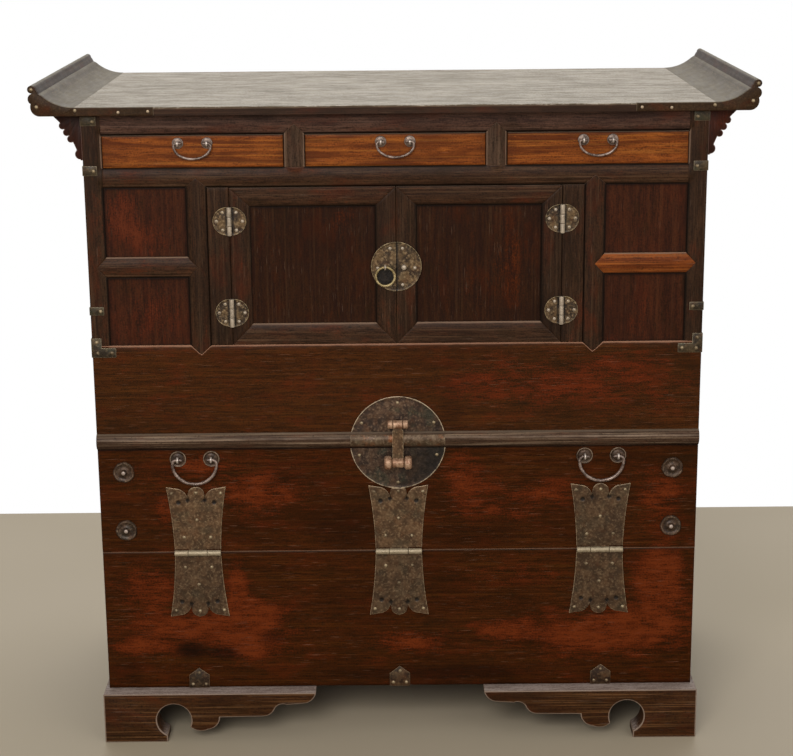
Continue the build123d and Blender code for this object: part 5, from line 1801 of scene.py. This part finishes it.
@dataclass
class Bail:
    """A hanging bail and the two round posts that it hangs in."""

    name: str
    x: float
    z: float
    spacing: float
    width: float
    drop: float
    wire: float
    plate_r: float
    plate_t: float = 1.6
    eye_w: float = 3.0
    gap: float = 0.4
    wall: float = 2.2
    domed: bool = False

    @property
    def out(self) -> float:
        """How far the bail's axis lies in front of the face."""
        return self.plate_t + 2 * self.gap + self.wire + self.wall

    def path(self) -> Array:
        """Middle of the wire: a stub, a shoulder, half an ellipse, and the same back up."""
        half = self.width / 2 - self.wire
        shoulder = self.spacing / 2 + self.eye_w / 2 + self.gap
        turn = half - shoulder
        bow = self.drop - self.wire - turn
        stub = self.spacing / 2 - self.eye_w - self.wire
        corner = np.linspace(0, math.pi / 2, 9)[1:]
        bend = np.stack([-shoulder - turn * np.sin(corner), -turn * (1 - np.cos(corner))], 1)
        bowl = np.linspace(math.pi, math.tau, 44)[1:-1]
        dip = np.stack([half * np.cos(bowl), -turn + bow * np.sin(bowl)], 1)
        start = np.stack([np.linspace(-stub, -shoulder, 5), np.zeros(5)], 1)
        line = np.vstack([start, bend, dip, bend[::-1] * (-1, 1), start[::-1] * (-1, 1)])
        return np.stack([line[:, 0] + self.x, np.full(len(line), F.y - self.out), line[:, 1] + self.z], 1)

    def build(self) -> list[tuple[Shape, Shape]]:
        """Make the bail and return the plate and the eye of each post."""
        path = self.path()
        low = (self.z - path[:, 2]) / self.drop
        wire = tube(path, self.wire * (0.86 + 0.14 * np.clip(low * 1.5, 0, 1)))
        worked(self.name, wire, BAIL, self.name)
        return [self.post(self.x + side * self.spacing / 2) for side in (-1, 1)]

    def post(self, x: float) -> tuple[Shape, Shape]:
        """A round plate with a rolled rim and a sunk ring, and the eye that stands on it.

        Args:
            x: Middle of the post.

        Returns:
            The plate and the eye.
        """
        r, t = self.plate_r, self.plate_t
        # from the middle out: a raised middle, a sunk ring and a rolled rim
        face = [(0.0, -t - 0.4), (0.45 * r, -t - 0.4), (0.55 * r, -t), (0.66 * r, -0.45 * t),
                (0.76 * r, -0.45 * t), (0.85 * r, -0.95 * t), (0.93 * r, -t), (r, -0.6 * t)]
        if self.domed:
            bulge = np.linspace(0, math.pi / 2, 9)
            face = [(r * math.sin(b), -0.5 - 2.6 * math.cos(b) ** 0.8) for b in bulge]
        back = turned([*face, (r, 0.0), (0.0, 0.0)], 1, (x, F.y, self.z), wobble=0.012)
        rim = np.hypot(back.points[:, 0] - x, back.points[:, 2] - self.z) / r
        # the rolled rim is painted lighter, worn and with a painted highlight
        back.paint["rub"] = 1.2 * fade(np.abs(rim - 0.92), 0.1)
        back.paint["grime"] = (0.0 if self.domed else 0.5) * fade(np.abs(rim - 0.7), 0.12)
        hole = self.wire + self.gap
        eye = link(hole + self.wall / 2, self.wall / 2, self.eye_w / 2, (x, F.y - self.out, self.z), 0)
        top = -self.out + hole + 0.4
        stem = turned([(0.0, top), (1.5, top), (1.9, -t), (0.0, -t)], 1, (x, F.y, self.z), sides=16)
        return back, joined([eye, stem]).polished()


@dataclass
class Hardware:
    """Hinges, straps, plates, rosettes, ring, pins and nails."""

    straps_x: float = 305.0
    door_pin: Pair = (241.65, F.y - 3.9)
    door_hinges: Pair = (49.0, 185.0)
    door_knuckle: float = 42.0
    knuckle_r: float = 3.5
    knuckle_gap: float = 0.4
    leaf_r: float = 20.5
    leaf_t: float = 1.6
    leaf_edge: float = 3.9
    leaf_nails: tuple[Pair, ...] = ((6.0, 13.0), (15.0, 0.0), (6.0, -13.0))
    disc_edge: float = 0.35
    disc_z: float = F.sill + 116.0
    disc_r: float = 36.5
    disc_t: float = 2.0
    disc_nails: tuple[Pair, ...] = ((27.0, -2.0), (9.0, 27.0), (9.0, -27.0))
    # the round post as (radius, place in front of the face)
    post: tuple[Pair, ...] = ((0.0, -11.2), (2.2, -11.0), (3.4, -10.2), (3.6, -9.2), (3.4, -6.0),
                              (3.6, -1.8), (0.0, -1.8))
    post_x: float = 11.0
    ring_x: float = -16.2
    ring_y: float = F.y - 6.7
    ring_r: float = 13.8
    ring_wire: float = 1.7
    # a dark patch painted on the plate inside the ring: how far it reaches from the ring's middle, and how
    # softly it ends
    ring_dark_patch: Pair = (15.0, 3.0)
    # the ring's eye by its radius, half its thickness and half its width, and the eye's stem
    ring_eye: Three = (3.2, 1.1, 1.5)
    ring_stem: tuple[Pair, ...] = ((0.0, -4.4), (1.4, -4.4), (1.5, -1.8), (0.0, -1.8))
    rosette_x: float = 412.0
    rosette_up: Pair = (36.0, 128.0)
    # a rosette as (radius, place in front of the face): stud, dish and rolled rim
    rosette: tuple[Pair, ...] = (
        (0.0, -8.0), (2.4, -7.2), (4.2, -5.4), (5.0, -3.0), (6.2, -2.4), (8.0, -1.5), (10.5, -1.5),
        (12.0, -2.4), (13.6, -3.0), (15.2, -2.7), (16.0, -1.6), (16.0, 0.0), (0.0, 0.0))

    def build(self) -> None:
        """Make all of it."""
        self.straps()
        self.door_fittings()
        self.rosettes()
        for name, finish in (("corner_straps", CORNER), ("base_nail_plates", PLATE)):
            softened(name, 0.35, finish)
        for name, finish, slot in (("carcass_nails", NAIL, "nail_metal"),
                                   ("drop_front_nails", NAIL, "nail_metal"),
                                   ("hinge_pins", HINGE, "dark_iron"), ("hasp_pin", HINGE, "dark_iron")):
            carried(name, finish)

    def straps(self) -> None:
        """The three strap hinges; the middle one stays clear of the round lock plate."""
        def under_plate(x: Array) -> Array:
            """Lower edge of the lock plate over x, less a hair."""
            return LockPlate.z - np.sqrt(np.clip(LockPlate.radius ** 2 - x ** 2, 0, None)) - 0.3
        # the right hand strap is painted darker all over
        hinges = [StrapHinge(-self.straps_x), StrapHinge(0.0), StrapHinge(self.straps_x, darkening=0.4)]
        lower = [shape for hinge in hinges for shape in hinge.lower()]
        upper = [shape for hinge in hinges for shape in hinge.upper(None if hinge.x else under_plate)]
        place("drop_hinge_lower_worked", lower, STRAP, "carcass", ["drop_hinge_lower_leaves"])
        place("drop_hinge_upper_worked", upper, STRAP, "drop_front",
              ["drop_hinge_upper_leaves"])

    def door_fittings(self) -> None:
        """Round hinge leaves, the halves of the door plate, the ring and the post."""
        half, third = self.door_knuckle / 2, self.door_knuckle / 6
        outer = ((-half, -third), (third, half))
        inner = ((-third + self.knuckle_gap, third - self.knuckle_gap),)
        stile_leaves = [shape for up in self.door_hinges for shape in self.round_leaf(up, 1, outer)]
        door_leaves = [shape for up in self.door_hinges for shape in self.round_leaf(up, -1, inner)]
        worked("door_hinge_leaves", [hand for shape in stile_leaves for hand in both_hands(shape)], HINGE)
        half_plate = half_disc(self.disc_edge, self.disc_z, self.disc_r, self.disc_t, 61)
        nails = studs([(x, self.disc_z + up) for x, up in self.disc_nails], F.y - 1.9)
        post = turned(self.post, 1, (self.post_x, F.y, self.disc_z), sides=24).polished()
        worked("door_right_fittings", [half_plate, *nails, post, *door_leaves], HINGE,
               "door_right")
        left_plate = half_plate.mirrored()
        # a dark patch is painted on the plate inside the ring
        reach = np.hypot(left_plate.points[:, 0] - self.ring_x,
                         left_plate.points[:, 2] - self.disc_z + self.ring_r)
        far, soft = self.ring_dark_patch
        left_plate.paint = {**left_plate.paint, "grime": np.clip((far - reach) / soft, 0, 1)}
        eye = link(*self.ring_eye, (self.ring_x, self.ring_y, self.disc_z), 0).polished()
        stem = turned(self.ring_stem, 1, (self.ring_x, F.y, self.disc_z), sides=16).polished()
        others = [shape.mirrored() for shape in [*nails, *door_leaves]]
        worked("door_left_fittings", [left_plate, *others, eye, stem], HINGE, "door_left")
        ring = link(self.ring_r, self.ring_wire, self.ring_wire,
                    (self.ring_x, self.ring_y, self.disc_z - self.ring_r), 1)
        worked("door_ring", ring, RING, "door_ring")

    def round_leaf(self, up: float, side: int, spans: Sequence[Pair]) -> list[Shape]:
        """One round leaf of a right hand door hinge, its knuckles and its nails.

        Args:
            up: Height of its middle above the sill.
            side: 1 on the stile, -1 on the door.
            spans: From where to where its knuckles reach, from the middle.

        Returns:
            The surfaces of the leaf.
        """
        z, edge = F.sill + up, self.door_pin[0] + side * self.leaf_edge
        made = [half_disc(edge, z, self.leaf_r, self.leaf_t, 71 + int(up), side)]
        made += studs([(edge + side * dx, z + dz) for dx, dz in self.leaf_nails], F.y - 1.5)
        inside = self.leaf_r - 0.2
        for low, high in spans:
            made.append(barrel(z + low, z + high, self.door_pin, self.knuckle_r, 0.8, axis=2))
            ends = sorted((self.door_pin[0], edge + side * 0.4))
            made.append(TAB.board(rectangle(*ends, z + max(low, -inside), z + min(high, inside)),
                                  level=F.y - self.leaf_t, back=F.y))
        return made

    def rosettes(self) -> None:
        """Four round plates, each with a rolled rim and a domed stud."""
        shapes = []
        for x, up in itertools.product((-self.rosette_x, self.rosette_x), self.rosette_up):
            made = turned(self.rosette, 1, (x, F.y, F.seam + up), sides=44, wobble=0.035)
            reach = np.hypot(made.points[:, 0] - x, made.points[:, 2] - F.seam - up)
            # the stud's tip gets a painted highlight, the rolled rim is painted lighter, worn and with a
            # painted highlight, and the dish is painted darker
            made.paint = {"polish": np.clip((F.y - made.points[:, 1] - 5.0) / 2.0, 0, 1),
                          "rub": 0.9 * fade(np.abs(reach - 14.0), 1.8),
                          "grime": 0.5 * fade(np.abs(reach - 9.5), 3.0)}
            shapes.append(made)
        worked("rosettes", shapes, STUD, "drop_front")


def carried(name: str, finish: Finish) -> None:
    """Give a CAD node that stays its finish.

    Args:
        name: The CAD node.
        finish: What it is made of.
    """
    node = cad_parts[name]
    node.data.materials.clear()
    node.data.materials.append(finish.material())
    LOG.info("%s: keeps its CAD shape", name)


@dataclass
class Bails:
    """The two large bails of the drop front and the three of the drawers, with their posts."""

    drop_x: float = 305.0
    drop_z: float = F.seam + 148.0
    drawer_x: float = 291.5
    drawer_z: float = F.deck + 36.0

    def build(self) -> None:
        """Make the bails, then the posts of each body."""
        posts: list[tuple[Shape, Shape]] = []
        for name, x in (("drop_bail_left", -self.drop_x), ("drop_bail_right", self.drop_x)):
            posts += Bail(name, x, self.drop_z, spacing=50.0, width=71.0, drop=40.0, wire=2.4,
                          plate_r=12.5).build()
        self.posts("drop_bail_posts", posts, "drop_front", STUD)
        for side, x in (("left", -self.drawer_x), ("middle", 0.0), ("right", self.drawer_x)):
            posts = Bail(f"drawer_{side}_bail", x, self.drawer_z, spacing=42.0, width=57.0, drop=24.0,
                         wire=1.8, plate_r=8.2, domed=True).build()
            self.posts(f"drawer_{side}_bail_posts", posts, f"drawer_{side}", BOSS)

    @staticmethod
    def posts(node: str, posts: Sequence[tuple[Shape, Shape]], body: str, finish: Finish) -> None:
        """Make the plates and the eyes of a body's bail posts."""
        plates, eyes = zip(*posts)
        place(node + "_plates", plates, finish, body, [node])
        place(node + "_eyes", eyes, BAIL, body, [node])


# ---- carcass and base
@dataclass
class BackBoards:
    """Three rough boards, one above the other, that close the back."""

    heights: tuple[float, ...] = (F.base, F.base + 250.0, F.base + 530.0, F.body_top)
    outer: float = round(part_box("back_boards")[1].y / MM, 3)
    inner: float = round(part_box("back_boards")[0].y / MM, 3)
    nails_x: tuple[float, ...] = (-438.0, -219.0, 3.0, 221.0, 439.0)
    nail_low: float = 28.0
    nail_high: float = 31.0

    def build(self) -> None:
        """Work each board as a front board is worked, and turn it to the back."""
        boards = []
        for seed, (low, high) in enumerate(itertools.pairwise(self.heights), 91):
            # lit paints highlights along each board's edges; the joints between the boards are then painted
            # dark
            member = Member(ease=1.6, uneven=1.2, lit=(0.3, 0.4, 0.6, 0.4), darkening=(0.8, 0.2, 0.8, 0.2),
                            shade_width=4.0, seed=seed)
            board = member.board(rectangle(-F.half, F.half, low, high), level=-self.outer,
                                 back=-self.inner).mirrored(1)
            away = np.minimum(board.points[:, 2] - low, high - board.points[:, 2])
            board.paint = {"rub": board.paint["rub"], "grime": 0.9 * fade(away, 2.5)}
            boards.append(board)
        worked("back_boards", boards, BACKING)
        heads = studs([(x, z) for low, high in itertools.pairwise(self.heights) for x in self.nails_x
                       for z in (low + self.nail_low, high - self.nail_high)],
                      -self.outer + 0.3, radius=3.0, height=1.3)
        place("back_board_nails", [head.mirrored(1) for head in heads], NAIL, "carcass")


@dataclass
class Carcass:
    """Boards and blocks that keep the frame's shape and get rounded edges, of this width."""

    inner: float = 0.8
    side: float = 1.2
    carved: float = 0.9
    base: float = 1.8

    def build(self) -> None:
        """Round the edges of each."""
        softened("side_boards", self.side, SIDE)
        for node in ("chest_floor", "cabinet_floor", "drawer_deck", "drawer_partitions"):
            softened(node, self.inner, PLAIN)
        softened("eave_brackets", self.carved, BRACKET)
        for node in ("front_foot_right", "front_foot_left", "base_rails"):
            softened(node, self.base, BASE)


# ---- floor, light and camera
@dataclass
class Studio:
    """Pale floor, soft light, and the camera, whose eye is in millimetres and its turns in radians."""

    image: tuple[int, int] = (793, 756)
    focal_px: float = 1880.0
    sensor_mm: float = 36.0
    eye: Three = (-5.255, F.y - 2697.754, 1280.051)
    pitch: float = 0.2565
    yaw: float = 0.0015
    roll: float = 0.0089
    floor: str = "#a89a82"
    floor_light: str = "#bcae98"
    floor_half: float = 7.0
    cloth_y: float = 850.0

    def build(self) -> None:
        """Make the camera, the floor, the world and the lamps."""
        self.camera()
        self.ground()
        self.world()
        self.lamp("key_softbox", (-0.7, -3.3, 2.1), size=1.5, power=72.0, aim=0.5)
        self.lamp("fill_softbox", (2.2, -2.8, 1.9), size=2.4, power=26.0, aim=0.5)
        self.lamp("back_softbox", (0.0, 1.8, 2.9), size=2.6, power=44.0, aim=0.9)

    def camera(self) -> None:
        """Camera from its place and three turns; its axes are the columns of its matrix."""
        forward = np.array([math.sin(self.yaw) * math.cos(self.pitch),
                            math.cos(self.yaw) * math.cos(self.pitch), -math.sin(self.pitch)])
        level = np.array([math.cos(self.yaw), -math.sin(self.yaw), 0.0])
        down = np.cross(forward, level)
        right = level * math.cos(self.roll) + down * math.sin(self.roll)
        up = level * math.sin(self.roll) - down * math.cos(self.roll)
        data = bpy.data.cameras.new("camera")
        data.sensor_width = self.sensor_mm
        data.lens = self.focal_px * self.sensor_mm / self.image[0]
        camera = linked("camera", data)
        turn = np.eye(4)
        turn[:3, 0], turn[:3, 1], turn[:3, 2] = right, up, -forward
        turn[:3, 3] = np.array(self.eye) * MM
        camera.matrix_world = Matrix(turn.tolist())
        bpy.context.scene.camera = camera

    def ground(self) -> None:
        """A plain pale floor, with a white cloth behind the chest."""
        made = bpy.data.materials.new("pale_floor")
        made.use_nodes = True
        g = Graph(made.node_tree)
        masks = g.masks({"cloud": Noise(900, 900, 2), "grain": Noise(4, 4, 2)}, Grain.X, {})
        tone = g.coated(self.floor, [Coat("cloud", 0.3, 0.7, 0.5, self.floor_light)], masks)
        bump = g.add("ShaderNodeBump", {"Height": masks["grain"], "Distance": 0.0003, "Strength": 0.2})
        floor = g.add("ShaderNodeBsdfPrincipled", {"Base Color": tone, "Roughness": 0.6, "Normal": bump})
        cloth = g.add("ShaderNodeBsdfPrincipled", {"Base Color": linear("#f0efec"), "Roughness": 0.8})
        white = g.add("ShaderNodeEmission", {"Color": WHITE, "Strength": 1.0})
        cloth = g.add("ShaderNodeMixShader", {0: self.seen(g), 1: cloth, 2: white})
        place_y = g.add("ShaderNodeSeparateXYZ", {0: g.add("ShaderNodeTexCoord").outputs["Object"]})
        behind = g.add("ShaderNodeMath", {0: place_y.outputs["Y"], 1: self.cloth_y * MM},
                       operation="GREATER_THAN")
        both = g.add("ShaderNodeMixShader", {0: behind, 1: floor, 2: cloth})
        g.add("ShaderNodeOutputMaterial", {"Surface": both})
        mesh = bpy.data.meshes.new("floor")
        w = self.floor_half
        mesh.from_pydata([(-w, -w, 0), (w, -w, 0), (w, w, 0), (-w, w, 0)], [], [(0, 1, 2, 3)])
        mesh.materials.append(made)
        linked("floor", mesh)

    @staticmethod
    def seen(g: Graph) -> bpy.types.Node:
        """1 for a ray that looks at the background, straight or through a reflection or glass.

        Args:
            g: Graph that the nodes are put into.

        Returns:
            The node that gives 1 or 0.
        """
        path = g.add("ShaderNodeLightPath")
        straight = g.add("ShaderNodeMath", {0: path.outputs["Is Camera Ray"],
                                            1: path.outputs["Is Glossy Ray"]}, operation="MAXIMUM")
        return g.add("ShaderNodeMath", {0: straight, 1: path.outputs["Is Transmission Ray"]},
                     operation="MAXIMUM")

    def world(self) -> None:
        """White to the camera and in reflections, softer as a light."""
        world = bpy.data.worlds.new("world")
        world.use_nodes = True
        bpy.context.scene.world = world
        g = Graph(world.node_tree)
        seen = self.seen(g)
        light = g.add("ShaderNodeBackground", {"Color": linear("#f4f4f2"), "Strength": 0.36})
        white = g.add("ShaderNodeBackground", {"Color": WHITE, "Strength": 1.0})
        mix = g.add("ShaderNodeMixShader", {0: seen, 1: light, 2: white})
        g.add("ShaderNodeOutputWorld", {"Surface": mix})

    @staticmethod
    def lamp(name: str, where: Sequence[float], size: float, power: float, aim: float) -> None:
        """A square softbox that looks at the middle of the chest at a height.

        Args:
            name: Name of the lamp.
            where: Its place, in metres.
            size: Its width, in metres.
            power: Its power in watts.
            aim: Height that it looks at, in metres.
        """
        data = bpy.data.lights.new(name, "AREA")
        data.size = size
        data.energy = power
        lamp = linked(name, data)
        away = Vector(where) - Vector((0.0, 0.0, aim))
        lamp.matrix_world = Matrix.Translation(where) @ away.to_track_quat("Z", "Y").to_matrix().to_4x4()


def main() -> None:
    """Build the chest's looks and the studio."""
    logging.basicConfig(level=logging.INFO, format="%(name)s: %(message)s")
    bpy.context.scene.view_settings.view_transform = "Standard"
    drawers = (Drawer("drawer_left", -422.2, -160.8, seed=29),
               Drawer("drawer_middle", -130.2, 130.2, seed=30),
               Drawer("drawer_right", 160.8, 422.2, seed=31))
    for part in (Studio(), FrontFrame(), Door(1), Door(-1), DropFront(), *drawers, Top(), Moulding(),
                 LockPlate(), Bails(), Hardware(), BackBoards(), Carcass()):
        part.build()


if __name__ == "__main__":
    main()
